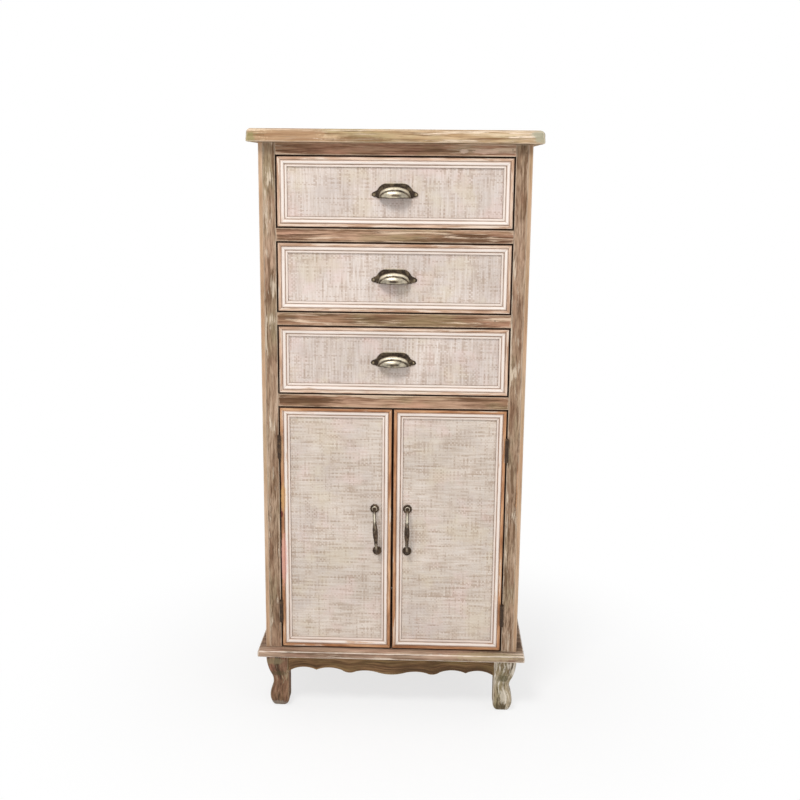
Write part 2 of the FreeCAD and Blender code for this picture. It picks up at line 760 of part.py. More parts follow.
def bow(label):
    """A round bar that leaves one rosette, bends along the door and goes back to the other."""
    body = new_body(label)
    spine = sketch_on(body, "YZ_Plane", f"{label}_spine")
    half = "(bow_spacing / 2)"
    bend = "(bow_bend * (1 - sqrt(0.5)))"
    outline_ends = [
        ("0", half),
        ("(bow_bend - bow_reach)", half, bend),
        ("-bow_reach", f"({half} - bow_bend)"),
        ("-bow_reach", f"(bow_bend - {half})", bend),
        ("(bow_bend - bow_reach)", f"-{half}"),
        ("0", f"-{half}"),
    ]
    outline(spine, outline_ends, closed=False)
    section = sketch_on(body, "XZ_Plane", f"{label}_section")
    circle = Part.Circle(FreeCAD.Vector(0, number(half), 0), Z_AXIS, number("bow_radius"))
    section.addGeometry(circle, False)
    bind(section, "DistanceX", 0, 3, "0")
    bind(section, "DistanceY", 0, 3, half)
    tie = section.addConstraint(Sketcher.Constraint("Radius", 0, number("bow_radius")))
    section.setExpression(f"Constraints[{tie}]", cell("bow_radius"))
    doc.recompute()
    pipe = body.newObject("PartDesign::AdditivePipe", f"{label}_pipe")
    pipe.Profile = section
    pipe.Spine = spine
    doc.recompute()
    return body


def rosette(label, sign):
    """A round foot with a domed front, turned about the bolt's line."""
    body = new_body(label)
    section = sketch_on(body, "XY_Plane", f"{label}_section")
    outline(
        section,
        [
            ("0", "0"),
            ("0", "-rosette_height"),
            ("rosette_neck", "-rosette_height", "-rosette_dome"),
            ("rosette_radius", "-rosette_rim"),
            ("rosette_radius", "0"),
        ],
    )
    turned = body.newObject("PartDesign::Revolution", f"{label}_turned")
    turned.Profile = section
    turned.ReferenceAxis = (section, ["V_Axis"])
    turned.Angle = 360
    doc.recompute()
    return place(body, z=f"{sign} * bow_spacing / 2")


def bow_pull(label, x, angle):
    """A bow with a swelling grip between two rosettes, drilled from behind for its bolts."""
    grip = named(doc.addObject("Part::Ellipsoid", f"{label}_grip"), f"{label}_grip")
    grip.setExpression("Radius1", cell("grip_length / 2"))
    grip.setExpression("Radius2", cell("grip_radius"))
    grip.setExpression("Radius3", cell("grip_radius"))
    place(grip, y="-bow_reach")
    pieces = [bow(f"{label}_bow"), grip]
    drills = []
    for end, sign in (("lower", -1), ("upper", 1)):
        pieces.append(rosette(f"{label}_rosette_{end}", sign))
        bore = f"{label}_bore_{end}"
        radius = "(bolt_radius + screw_gap)"
        start = "-(bolt_in_pull + screw_gap)"
        length = "(bolt_in_pull + screw_gap + overcut)"
        height = f"{sign} * bow_spacing / 2"
        drills.append(rod(bore, radius, length, "0", start, height, X_AXIS, -90))
    solid = fuse(f"{label}_solid", pieces)
    pull = cut(label, solid, fuse(f"{label}_bores", drills))
    return keep(place(pull, x, PANEL_FACE, BOW_MIDDLE, Y_AXIS, angle))


def bow_end(x, angle, sign):
    """Where a bow pull's upper (+1) or lower (-1) bolt lies: x, then z."""
    return (
        f"({x} + {sign} * bow_spacing / 2 * sin({angle}))",
        f"({BOW_MIDDLE} + {sign} * bow_spacing / 2 * cos({angle}))",
    )


def bow_bolts(label, x, angle):
    """Bolts from the back of the door into the rosettes."""
    bolts = []
    for end, sign in (("lower", -1), ("upper", 1)):
        name = f"{label}_{end}"
        length = "(frame_depth - panel_recess + bolt_in_pull)"
        shank = rod(f"{name}_shank", "bolt_radius", length, "0", "0", "0")
        head = rod(f"{name}_head", "bolt_head_radius", "bolt_head_height", "0", "0", "-bolt_head_height")
        bolt = fuse(name, [shank, head])
        bolt_x, bolt_z = bow_end(x, angle, sign)
        bolts.append(place(bolt, bolt_x, FRONT_BACK, bolt_z, X_AXIS, 90))
    return keep(group(label, bolts))


# Drawers: front frame, woven-faced board, sides with a groove for the bottom, back, bottom,
# cup pull and its screws.


def drawer(name, level):
    """All the pieces of one drawer."""
    label = f"drawer_{name}"
    floor = opening_bottom(level)
    x = (f"-{DRAWER_HALF}", DRAWER_HALF)
    z = (f"({floor} + reveal)", f"({floor} + drawer_opening - reveal)")
    cup_z = f"({floor} + drawer_opening / 2 + cup_rise)"
    screw_radius = "(cup_screw_radius + screw_gap)"
    holes = []
    for side, sign in SIDES:
        holes.append((f"{sign} * {CUP_SCREW_X}", f"({cup_z} + ear_height)", screw_radius))
    mitred_frame(f"{label}_frame", x, z)
    panel_board(f"{label}_panel", x, z, holes)
    cup_pull(f"{label}_pull", cup_z)
    cup_screws(f"{label}_pull_screws", cup_z)

    side_bottom = f"({floor} + run_gap)"
    side_height = (side_bottom, f"({side_bottom} + drawer_side_height)")
    inner = f"({DRAWER_HALF} - drawer_side_thickness)"
    rear = f"({BACK_PANEL_FACE} - drawer_rear_gap)"
    bottom_low = f"({side_bottom} + drawer_bottom_lift)"
    bottom_high = f"({bottom_low} + drawer_bottom_thickness)"
    groove_half = f"({inner} + drawer_groove)"
    sides = []
    for side, sign in SIDES:
        across = mirrored_x(inner, DRAWER_HALF, sign)
        blank = board(f"{label}_{side}_blank", across, (FRONT_BACK, rear), side_height)
        across = mirrored_x(inner, groove_half, sign)
        groove = board(f"{label}_{side}_groove", across, (FRONT_BACK, rear), (bottom_low, bottom_high))
        sides.append(cut(f"{label}_side_{side}", blank, groove))
    keep(group(f"{label}_sides", sides))
    keep(
        board(
            f"{label}_back",
            (f"-{inner}", inner),
            (f"({rear} - drawer_side_thickness)", rear),
            (bottom_high, side_height[1]),
        )
    )
    across = (f"-{groove_half}", groove_half)
    keep(board(f"{label}_bottom", across, (FRONT_BACK, rear), (bottom_low, bottom_high)))


for name, level in DRAWERS:
    drawer(name, level)

# Doors: frame, woven-faced board, bow pull, its bolts, and the strike plate for the catch.
DOOR_BOTTOM = f"({BASE_TOP} + reveal)"
DOOR_HIGH = f"({DOOR_TOP} - reveal)"


def door(side, sign):
    """All the pieces of one door but its hinge leaves."""
    label = f"door_{side}"
    x = mirrored_x("(door_meeting_gap / 2)", DRAWER_HALF, sign)
    z = (DOOR_BOTTOM, DOOR_HIGH)
    inset, tilt = ("bow_inset_left", "-bow_tilt") if sign < 0 else ("bow_inset", "0")
    pull_x = f"({sign} * (door_meeting_gap / 2 + frame_width + {inset}))"
    holes = []
    for end in (-1, 1):
        hole_x, hole_z = bow_end(pull_x, tilt, end)
        holes.append((hole_x, hole_z, "(bolt_radius + screw_gap)"))
    mitred_frame(f"{label}_frame", x, z)
    panel_board(f"{label}_panel", x, z, holes)
    bow_pull(f"{label}_pull", pull_x, number(tilt))
    bow_bolts(f"{label}_pull_bolts", pull_x, tilt)
    keep(
        board(
            f"{label}_strike",
            mirrored_x("(strike_inset - strike_width / 2)", "(strike_inset + strike_width / 2)", sign),
            (FRONT_BACK, f"({FRONT_BACK} + strike_thickness)"),
            (f"({DOOR_HIGH} - strike_height)", DOOR_HIGH),
        )
    )


for side, sign in SIDES:
    door(side, sign)

# Magnetic catches under the lower rail, just behind the strike plates.
catches = []
CATCH_FRONT = f"({FRONT_BACK} + strike_thickness + catch_gap)"
for side, sign in SIDES:
    catches.append(
        board(
            f"catch_{side}",
            mirrored_x("(strike_inset - catch_width / 2)", "(strike_inset + catch_width / 2)", sign),
            (CATCH_FRONT, f"({CATCH_FRONT} + catch_depth)"),
            (f"({DOOR_TOP} - catch_height)", DOOR_TOP),
        )
    )
keep(group("magnet_catches", catches))

# Butt hinges: each has a leaf on the post with knuckles 1, 3 and 5, a leaf on the door with
# knuckles 2 and 4, and a pin with a head at each end.
KNUCKLES = 5
KNUCKLE = f"(hinge_length / {KNUCKLES})"
HINGE_HEIGHTS = (
    ("lower", f"({BASE_TOP} + hinge_lower_rise)"),
    ("upper", f"({DOOR_TOP} - hinge_upper_drop)"),
)


def leaf(label, sign, middle, on_post):
    """A leaf in the gap between post and door, with its share of the knuckles."""
    low = f"({middle} - hinge_length / 2)"
    if on_post:
        across = mirrored_x(f"({HINGE_X} + leaf_gap / 2)", OPENING_HALF, sign)
    else:
        across = mirrored_x(DRAWER_HALF, f"({HINGE_X} - leaf_gap / 2)", sign)
    height = (low, f"({low} + hinge_length)")
    plate = board(f"{label}_plate", across, (FACE, f"({FACE} + leaf_width)"), height)
    pieces = [plate]
    for index in range(0 if on_post else 1, KNUCKLES, 2):
        name = f"{label}_knuckle_{index + 1}"
        start = f"({low} + {index} * {KNUCKLE} + knuckle_gap / 2)"
        length = f"({KNUCKLE} - knuckle_gap)"
        pieces.append(rod(name, "barrel_radius", length, f"{sign} * {HINGE_X}", HINGE_Y, start))
        pieces.append(board(f"{name}_neck", across, (HINGE_Y, FACE), (start, f"({start} + {length})")))
    bore = rod(
        f"{label}_bore",
        "(hinge_pin_radius + hinge_pin_clearance)",
        "(hinge_length + 2 * overcut)",
        f"{sign} * {HINGE_X}",
        HINGE_Y,
        f"({low} - overcut)",
    )
    return cut(label, fuse(f"{label}_solid", pieces), bore)


def hinge_pin(label, sign, middle):
    """A pin with a flat head at each end."""
    x = f"{sign} * {HINGE_X}"
    low = f"({middle} - hinge_length / 2)"
    high = f"({low} + hinge_length)"
    head = "hinge_pin_head_radius"
    shank = rod(f"{label}_shank", "hinge_pin_radius", "hinge_length", x, HINGE_Y, low)
    lower = rod(f"{label}_lower_head", head, "hinge_pin_head", x, HINGE_Y, f"({low} - hinge_pin_head)")
    upper = rod(f"{label}_upper_head", head, "hinge_pin_head", x, HINGE_Y, high)
    return fuse(label, [shank, lower, upper])


fixed_leaves = []
pins = []
for side, sign in SIDES:
    moving_leaves = []
    for name, middle in HINGE_HEIGHTS:
        place_name = f"{side}_{name}"
        fixed_leaves.append(leaf(f"fixed_leaf_{place_name}", sign, middle, True))
        moving_leaves.append(leaf(f"door_leaf_{place_name}", sign, middle, False))
        pins.append(hinge_pin(f"hinge_pin_{place_name}", sign, middle))
    keep(group(f"door_{side}_hinge_leaves", moving_leaves))
keep(group("hinge_leaves_fixed", fixed_leaves))
keep(group("hinge_pins", pins))

# Every feature has to have worked, and every piece has to be whole, before anything is written.
doc.recompute()
for object_ in doc.Objects:
    if "Invalid" in object_.State or "Error" in object_.State:
        raise RuntimeError(f"{object_.Name} did not build: {object_.State}")
for node in nodes:
    if node.Shape.isNull() or not node.Shape.isValid() or not node.Shape.Solids:
        raise RuntimeError(f"{node.Label} has no valid shape")

os.makedirs("parts", exist_ok=True)
for node in nodes:
    node.Shape.exportStep(f"parts/{node.Label}.step")
    print(f"{node.Label}: {len(node.Shape.Solids)} solids, {node.Shape.Volume / 1000:.1f} cm3")
print(len(nodes), "pieces")
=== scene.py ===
# %% [markdown]
# # A rustic cabinet with drawers and doors
# The CAD frame gives every board, front and fitting its place and tells which of them move
# together. This lesson dresses it: boards become worn wood, each front gets a mitred moulding and
# a woven face, and the pulls get their cast shapes. Shapes are numpy arrays in millimetres, as on
# a drawing, and turn into metres when they become meshes.

# %% Load the frame
import math

import bpy
import numpy as np
from mathutils import Matrix, Vector


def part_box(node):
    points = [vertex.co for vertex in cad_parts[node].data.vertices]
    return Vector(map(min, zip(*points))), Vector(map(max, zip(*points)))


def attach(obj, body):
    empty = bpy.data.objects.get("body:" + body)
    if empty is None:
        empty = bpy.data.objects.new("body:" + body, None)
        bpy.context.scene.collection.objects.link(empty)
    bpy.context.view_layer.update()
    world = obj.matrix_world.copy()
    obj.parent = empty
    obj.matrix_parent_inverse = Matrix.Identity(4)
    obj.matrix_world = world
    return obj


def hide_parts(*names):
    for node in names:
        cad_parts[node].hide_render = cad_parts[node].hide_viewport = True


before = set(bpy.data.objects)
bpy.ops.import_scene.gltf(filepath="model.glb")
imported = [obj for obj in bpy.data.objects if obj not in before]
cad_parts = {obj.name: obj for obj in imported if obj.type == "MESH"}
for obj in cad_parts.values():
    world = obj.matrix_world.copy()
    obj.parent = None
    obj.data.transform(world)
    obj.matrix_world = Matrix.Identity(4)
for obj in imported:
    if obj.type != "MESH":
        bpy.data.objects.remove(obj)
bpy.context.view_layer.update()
MM = 0.001


# %% [markdown]
# ## Noise for shapes
# Real boards have dents, raised grain and unevenly worn edges. Sculpting takes hours and a texture
# displacement needs a very dense mesh; noise worked out in numpy gives each shape its own
# unevenness, the same on every run.

# %% Smooth noise on arrays of points
PRIMES = (73856093, 19349663, 83492791)
SEED_PRIME, LAST_PRIME, SIXTEEN_BITS = 26544357, 12741261, 0xFFFF


def hashed(cells, seed):
    """A fixed random number from 0 to 1 for each whole-number cell: its three numbers are
    multiplied by large primes, mixed bit by bit and cut to sixteen bits."""
    x, y, z = [cells[..., way] * prime for way, prime in enumerate(PRIMES)]
    mixed = x ^ y ^ z ^ (int(seed) * SEED_PRIME)
    mixed = (mixed ^ (mixed >> 13)) * LAST_PRIME
    return ((mixed ^ (mixed >> 16)) & SIXTEEN_BITS) / SIXTEEN_BITS


def noise(points, cell, seed=0):
    """Smooth noise from 0 to 1: random numbers at the corners of a grid of cells of the given
    size, blended between corners with the curve 3t^2 - 2t^3."""
    place = np.asarray(points, float) / np.asarray(cell, float)
    base = np.floor(place).astype(np.int64)
    share = smooth(place - base, 0, 1)
    total = np.zeros(len(place))
    for corner in np.ndindex(2, 2, 2):
        weight = np.prod(np.where(corner, share, 1 - share), axis=1)
        total += weight * hashed(base + np.array(corner), seed)
    return total


def smooth(value, low, high):
    """0 below low, 1 above high, and the curve 3t^2 - 2t^3 between."""
    share = np.clip((value - low) / (high - low), 0, 1)
    return share * share * (3 - 2 * share)


def bell(value, width):
    """The bell curve e^-(value / width)^2, 1 at 0 and near 0 beyond twice the width."""
    return np.exp(-(value / width) ** 2)


sample = noise(np.random.default_rng(1).random((500, 3)) * 90, 7)
print("noise reaches", round(float(sample.max()), 2))


# %% [markdown]
# ## From arrays to pieces
# A grid of points becomes a mesh in one go. Points that lie on each other are welded, so that
# seams and poles close. Numbers that a material needs, such as a place along the grain, travel
# with the mesh as attributes, so that the pattern follows a drawer or door when it moves.

# %% Faces, welding and pieces
counts = []


def grid_faces(rows, columns, closed=False):
    """Quads between neighbours of a grid of points stored row by row. Where it is closed, the last
    column joins the first."""
    number = np.arange(rows * columns).reshape(rows, columns)
    if closed:
        number = np.concatenate([number, number[:, :1]], 1)
    corners = number[:-1, :-1], number[:-1, 1:], number[1:, 1:], number[1:, :-1]
    return np.stack(corners, 2).reshape(-1, 4)


def join(shapes):
    """Several shapes, each (points, faces, marks), as one."""
    points = np.concatenate([shape[0] for shape in shapes])
    starts = np.cumsum([0] + [len(shape[0]) for shape in shapes[:-1]])
    faces = np.concatenate([shape[1] + start for shape, start in zip(shapes, starts)])
    marks = {key: np.concatenate([shape[2][key] for shape in shapes]) for key in shapes[0][2]}
    return points, faces, marks


def linked(name, data):
    """An object with the given data, in the scene."""
    made = bpy.data.objects.new(name, data)
    bpy.context.scene.collection.objects.link(made)
    return made


def piece(name, shape, material, body, replaced=(), sharp=38):
    """A mesh object from a shape in millimetres: it is welded, its faces get smooth shading up to
    a sharp angle, and it rides on a body in place of the CAD nodes that it stands for."""
    points, faces, marks = shape
    spots, first, where = np.unique(
        np.round(points, 4), axis=0, return_index=True, return_inverse=True
    )
    faces = where.reshape(-1)[faces]
    keep = faces != np.roll(faces, 1, axis=1)
    whole = keep.sum(1) > 2
    faces, keep = faces[whole], keep[whole]
    corners = keep.sum(1)
    loops = faces[keep]
    mesh = bpy.data.meshes.new(name)
    mesh.vertices.add(len(spots))
    mesh.vertices.foreach_set("co", (spots * MM).ravel())
    mesh.loops.add(len(loops))
    mesh.loops.foreach_set("vertex_index", loops)
    mesh.polygons.add(len(corners))
    mesh.polygons.foreach_set("loop_start", np.concatenate([[0], np.cumsum(corners)[:-1]]))
    mesh.update(calc_edges=True)
    mesh.shade_smooth()
    mesh.set_sharp_from_angle(angle=math.radians(sharp))
    for key, values in marks.items():
        vector = values.ndim == 2
        layer = mesh.attributes.new(key, "FLOAT_VECTOR" if vector else "FLOAT", "POINT")
        layer.data.foreach_set("vector" if vector else "value", values[first].ravel())
    made = linked(name, mesh)
    mesh.materials.append(material)
    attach(made, body)
    if replaced:
        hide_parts(*replaced)
    counts.append(int((corners - 2).sum()))
    print(f"{name}: {counts[-1]} triangles")


print("a 3 by 3 grid has", len(grid_faces(3, 3)), "faces")


# %% [markdown]
# ## A board with worn edges
# Each point of a box is pulled to an inner box that is smaller by a radius and pushed back out by
# it. The radius is noise as well, so the edges look handled; a Bevel modifier would give every
# edge the same width.

# %% Lattice, rounding and grain relief
def stations(low, high, step, corners):
    """Places along one side of a box: close together where an edge of one of the given radii
    turns, then even steps."""
    turn = [corner * (1 - np.tan(np.linspace(math.pi / 4, 0, 5)))[:-1] for corner in corners]
    turn = np.unique(np.round(np.concatenate(turn), 2))
    reach = max(corners)
    count = max(2, int(round((high - low - 2 * reach) / step)) + 1)
    even = np.linspace(low + reach, high - reach, count)
    return np.concatenate([low + turn, even, (high - turn)[::-1]])


def lattice(axes):
    """The six sides of a box on one lattice of points, as points and outward quads."""
    sizes = [len(axis) for axis in axes]
    number = np.arange(np.prod(sizes)).reshape(sizes)
    quads = []
    for axis in range(3):
        for end in (0, -1):
            side = number.transpose(axis, (axis + 1) % 3, (axis + 2) % 3)[end]
            quad = np.stack([side[:-1, :-1], side[1:, :-1], side[1:, 1:], side[:-1, 1:]], 2)
            quads.append(quad.reshape(-1, 4)[:, ::(1 if end else -1)])
    used, faces = np.unique(np.concatenate(quads), return_inverse=True)
    places = zip(axes, np.unravel_index(used, sizes))
    return np.stack([axis[place] for axis, place in places], 1), faces.reshape(-1, 4)


def offset(rows, seed, span):
    """A random move of up to span millimetres for each row of three whole numbers."""
    return hashed(np.array(rows), seed) * span


def board_shape(low, high, grain, radius=1.0, wear=0.7, relief=0.14, step=(9.0, 1.8), seed=0,
                corners=None, bend=None):
    """A board between two corners, with the grain along one axis. Its rounding is the radius plus
    wear times squared noise, and fibres stand proud by up to relief. bend moves the finished
    points. The marks say where a point lies along, across and into the grain, how far it is from
    the nearest edge, and how far behind the board's front."""
    low, high = np.array(low, float), np.array(high, float)
    thin = 0.48 * (high - low).min()
    gaps = [step[1]] * 3
    gaps[grain] = step[0]
    corners = corners or (min(thin, radius + wear),)
    points, faces = lattice([stations(low[k], high[k], gaps[k], corners) for k in range(3)])
    order = [grain, (grain + 1) % 3, (grain + 2) % 3]
    rounding = radius if np.isscalar(radius) else radius(points)
    rounding = rounding + wear * (1.6 * noise(points, 26.0, seed) ** 2 - 0.1)
    rounding = np.clip(rounding, 0.25, thin)[:, None]
    core = np.clip(points, low + rounding, high - rounding)
    outward = points - core
    outward /= np.linalg.norm(outward, axis=1, keepdims=True)
    near_edge = np.sort(np.minimum(points - low, high - points), axis=1)[:, 1]
    fibre = noise(points[:, order], (75.0, 2.3, 2.3), seed + 1)
    patch = noise(points[:, order], (190.0, 30.0, 30.0), seed + 2)
    sunk = relief * (smooth(fibre, 0.5, 0.95) * (0.35 + patch) + 0.25 * patch)
    shaped = core + outward * (rounding - sunk[:, None])
    own = offset([[seed, 1, 7], [seed, 2, 7], [seed, 3, 7]], 5, 4000)
    marks = {"grain": (points[:, order] + own) * MM, "edge": near_edge * MM,
             "behind": (points[:, 1] - low[1]) * MM}
    return (bend(shaped) if bend else shaped), faces, marks


def node_box(node):
    """Low and high corner of a CAD node in millimetres."""
    low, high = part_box(node)
    return np.array(low) / MM, np.array(high) / MM


print("a sample board has", len(board_shape((0, 0, 0), (60, 20, 10), 0)[0]), "points")


# %% [markdown]
# ## Short words for materials
# Weave, streaks and rubbed paint are node trees here, because image textures stop looking right up
# close. Adding nodes one at a time takes many lines, so a helper adds a node, sets its inputs and
# hands back its output as a wire, which can be added and multiplied like a number.

# %% A helper that builds node trees
WHITE = (255, 255, 255)


def linear(colour):
    """A colour as it looks on screen, 0 to 255, as the linear one that shaders use. A wire stays
    as it is."""
    if isinstance(colour, Wire):
        return colour
    values = np.array(colour) / 255
    values = np.where(values <= 0.04045, values / 12.92, ((values + 0.055) / 1.055) ** 2.4)
    return (*values.tolist(), 1.0)


class Finish:
    """One material, or a tree that is there already. Each method adds nodes."""

    def __init__(self, name, tree=None):
        if tree is None:
            self.material = bpy.data.materials.new(name)
            self.material.use_nodes = True
            tree = self.material.node_tree
        self.tree = tree
        tree.nodes.clear()

    def add(self, kind, inputs=None, out=0, **settings):
        """A shader node with its settings and inputs, given back as the wire of one output."""
        node = self.tree.nodes.new(f"ShaderNode{kind}")
        for key, value in settings.items():
            setattr(node, key, value)
        for key, value in (inputs or {}).items():
            if isinstance(value, Wire):
                self.tree.links.new(value.socket, node.inputs[key])
            else:
                node.inputs[key].default_value = value
        return Wire(self, node, out)

    def mark(self, name):
        """An attribute that the mesh carries; grain is the one with three numbers."""
        out = "Vector" if name == "grain" else "Fac"
        return self.add("Attribute", out=out, attribute_name=name)

    def place(self):
        """Where a point lies in the row frame."""
        return self.add("TexCoord", out="Object")

    def math(self, operation, first, second=0.0):
        """One sum on numbers."""
        return self.add("Math", {0: first, 1: second}, operation=operation)

    def done(self, colour, rough, bump, depth, **sockets):
        """The shader and the output; the same number all over goes on the shader's own socket."""
        normal = self.add("Bump", {"Height": bump, "Distance": depth, "Strength": 1.0})
        values = {"Base Color": colour, "Roughness": rough, "Normal": normal}
        for key, value in sockets.items():
            values[key.replace("_", " ")] = value
        self.add("OutputMaterial", {"Surface": self.add("BsdfPrincipled", values)})
        return self.material


class Wire:
    """What a node puts out: numbers are added and multiplied, colours mixed."""

    def __init__(self, finish, node, out):
        self.finish, self.node = finish, node
        self.socket = node.outputs[out] if node.outputs else None

    def __add__(self, other):
        return self.finish.math("ADD", self, other)

    def __sub__(self, other):
        return self.finish.math("SUBTRACT", self, other)

    def __mul__(self, other):
        return self.finish.math("MULTIPLY", self, other)

    def between(self, low, high):
        """0 at low, 1 at high, smooth between. low may be the larger."""
        turned = low > high
        values = {"Value": self, "From Min": min(low, high), "From Max": max(low, high),
                  "To Min": float(turned), "To Max": float(not turned)}
        return self.finish.add("MapRange", values, interpolation_type="SMOOTHSTEP")

    def band(self, low, full, fall, high):
        """0 up to low, 1 from full to fall, and 0 again from high."""
        return self.between(low, full) * self.between(high, fall)

    def vector(self, operation, other=(0, 0, 0), out=0):
        """One sum on vectors."""
        return self.finish.add("VectorMath", {0: self, 1: other}, out, operation=operation)

    def stretch(self, scale, shift=(0, 0, 0)):
        """A vector with each part multiplied and moved."""
        return self.finish.add("Mapping", {"Vector": self, "Scale": scale, "Location": shift})

    def noise(self, scale, detail=2.0, rough=0.5, twist=0.0, shift=(0, 0, 0), out=0):
        """Noise from 0 to 1, with so many cells to the metre each way."""
        scale = (scale,) * 3 if np.isscalar(scale) else scale
        values = {"Vector": self.stretch(scale, shift), "Scale": 1.0, "Detail": detail,
                  "Roughness": rough, "Distortion": twist}
        return self.finish.add("TexNoise", values, out)

    def mix(self, share, other, blend="MIX"):
        """This colour with a share of another."""
        values = {0: share, 6: self, 7: linear(other)}
        return self.finish.add("Mix", values, 2, data_type="RGBA", blend_type=blend)

    def ramp(self, *stops):
        """A colour read off a scale of (place, colour) stops."""
        made = self.finish.add("ValToRGB", {0: self})
        scale = made.node.color_ramp.elements
        while len(scale) < len(stops):
            scale.new(0.5)
        for element, (place, colour) in zip(scale, stops):
            element.position, element.color = place, linear(colour)
        return made

    def spots(self, spots):
        """This colour with ovals of (centre, size, tint, strength) laid over it. The distance from
        an oval's centre, in its own half widths, plus noise is over 1 outside its ragged rim."""
        colour = self
        for centre, size, tint, strength in spots:
            place = self.finish.place()
            ragged = place.noise(190, 6, 0.7, out="Color").vector("SUBTRACT", (0.5, 0.5, 0.5))
            shift = [-part / reach for part, reach in zip(centre, size)]
            local = place.stretch([1 / reach for reach in size], shift)
            local = local.vector("ADD", ragged.vector("MULTIPLY", (1.5, 1.5, 1.5)))
            away = local.vector("LENGTH", out="Value")
            colour = colour.mix(away.between(1.0, 0.6) * strength, tint)
        return colour


print("mid grey is", round(linear((128, 128, 128))[0], 3), "in linear light")


# %% [markdown]
# ## Glued staves
# The top, the sides and the back are wider than a sawn board, so they are glued up from staves.
# Staves as pieces of their own would leave many seams to keep shut; here the material shifts its
# grain and tone from stave to stave on one surface.

# %% Divide a board into staves
TOP_STAVE, STAVE_JUMP, NUDGE, SEAM_FROM, SEAM_FULL = 0.083, 7.31, 0.0004, 0.0011, 0.0004


def staves(finish, grain, width, by_depth):
    """The number of a stave is the distance, from the front back or across the grain, divided by
    the width in metres and rounded down. It moves the grain and draws a tone, the lot; the seams
    are thin lines where the distance is a whole number of widths."""
    if by_depth:
        place = finish.mark("behind") + NUDGE
    else:
        place = finish.add("SeparateXYZ", {0: grain}, 1)
    share = finish.math("DIVIDE", place, width)
    number = finish.math("FLOOR", share)
    jump = number * STAVE_JUMP
    jump = finish.add("CombineXYZ", {0: jump, 1: jump, 2: jump})
    lot = finish.add("TexWhiteNoise", {"W": number}, "Value", noise_dimensions="1D")
    off_middle = finish.math("ABSOLUTE", finish.math("FRACT", share) - 0.5)
    seam = off_middle.between(0.5 - SEAM_FROM / width, 0.5 - SEAM_FULL / width)
    if by_depth:
        lot, seam = [part * place.between(0.01, 0.02) for part in (lot, seam)]
    return grain.vector("ADD", jump), lot, seam


print("a board 320 mm deep shows", math.ceil(0.320 / TOP_STAVE), "staves of 83 mm")


# %% [markdown]
# ## Weathered wood
# The boards are softwood that was stained, painted and rubbed back: broad bands of tone, thin
# fibres, dark streaks of stain, flakes of old paint and pale worn edges lie over each other. A
# scan would repeat; one recipe with different colours serves every board, and each board's own
# place along the grain keeps any two from looking alike.

# %% The wood recipe
BANDS = (0.38, 0.5, 0.62)


def wood(name, tones, stain, chalk, stain_much, chalk_much, tints=(), spots=(), edge=None,
         edge_much=0.45, painted_gap_shade=0.0, rough=0.72, fibres=1.0, short=1.0, calm=0.0, stave=0.0,
         by_depth=True):
    """Wood from (dark, mid, light) tones, a stain colour, a chalk colour and how much of each
    shows (0 to 1), soft tints of (colour, strength), and spots. painted_gap_shade is how much the
    sides just behind the front are darkened towards the stain as painted shade in the gaps between
    parts, fibres how much the thin fibres show, short how many times shorter than usual the
    streaks are, and calm the share of stain and chalk that is left out behind the front. stave is
    a stave's width, or 0 for a board in one."""
    finish = Finish(name)
    grain = finish.mark("grain")
    if stave:
        grain, lot, seam = staves(finish, grain, stave, by_depth)
    colour = grain.noise((5 * short, 42, 42), 4, 0.62, 0.4).ramp(*zip(BANDS, tones))
    for index, (tint, strength) in enumerate(tints):
        soft = grain.noise((7, 24, 24), 4, 0.6, shift=(5.3 * index + 2, 4.1, 9.7 - 3 * index))
        colour = colour.mix(soft.between(0.48, 0.64) * strength, tint)
    height = grain.noise((16 * short, 330, 330), 4, 0.7)
    shade = height.ramp((0.36, (178, 166, 154)), (0.56, WHITE))
    colour = colour.mix(fibres, shade, "MULTIPLY")
    layers = ((stain, stain_much, 6 * short, 150, (3, 5, 1), -0.6),
              (chalk, chalk_much, 10 * short, 250, (8, 2, 6), 0.5))
    for tint, much, along, across, shift, raised in layers:
        local = grain.noise((along, across, across), 6, 0.68, 0.5, shift)
        region = grain.noise((along * 0.5, 24, 24), 3, 0.55, shift=shift)
        start = 1.16 - 0.28 * much
        mask = (local + region * 0.9).between(start, start + 0.09)
        if calm:
            far = finish.mark("behind").between(0.008, 0.03)
            mask = mask * finish.math("SUBTRACT", 1.0, far * calm)
        colour = colour.mix(mask * 0.82, tint)
        height = height + mask * raised
    scratch = grain.noise((9, 800, 800), shift=(1, 7, 3)).between(0.66, 0.72)
    colour = colour.mix(scratch * 0.35, chalk)
    if stave:
        colour = colour.mix(lot, (206, 196, 186), "MULTIPLY").mix(seam * 0.6, stain)
        height = height - seam * 1.5
    reach = finish.mark("edge") + grain.noise((60, 160, 160), 3) * -0.0042
    colour = colour.spots(spots).mix(reach.between(0.0002, -0.0014) * edge_much, edge or chalk)
    # Painted shade: the sides just behind the front, which face the gaps between parts, are
    # darkened
    # towards a dark stain colour.
    if painted_gap_shade:
        behind = finish.mark("behind").band(0.0008, 0.0022, 0.006, 0.016)
        colour = colour.mix(behind * painted_gap_shade, [part * 0.45 for part in stain])
    return finish.done(colour, rough, height, 0.0005, Specular_IOR_Level=0.3)


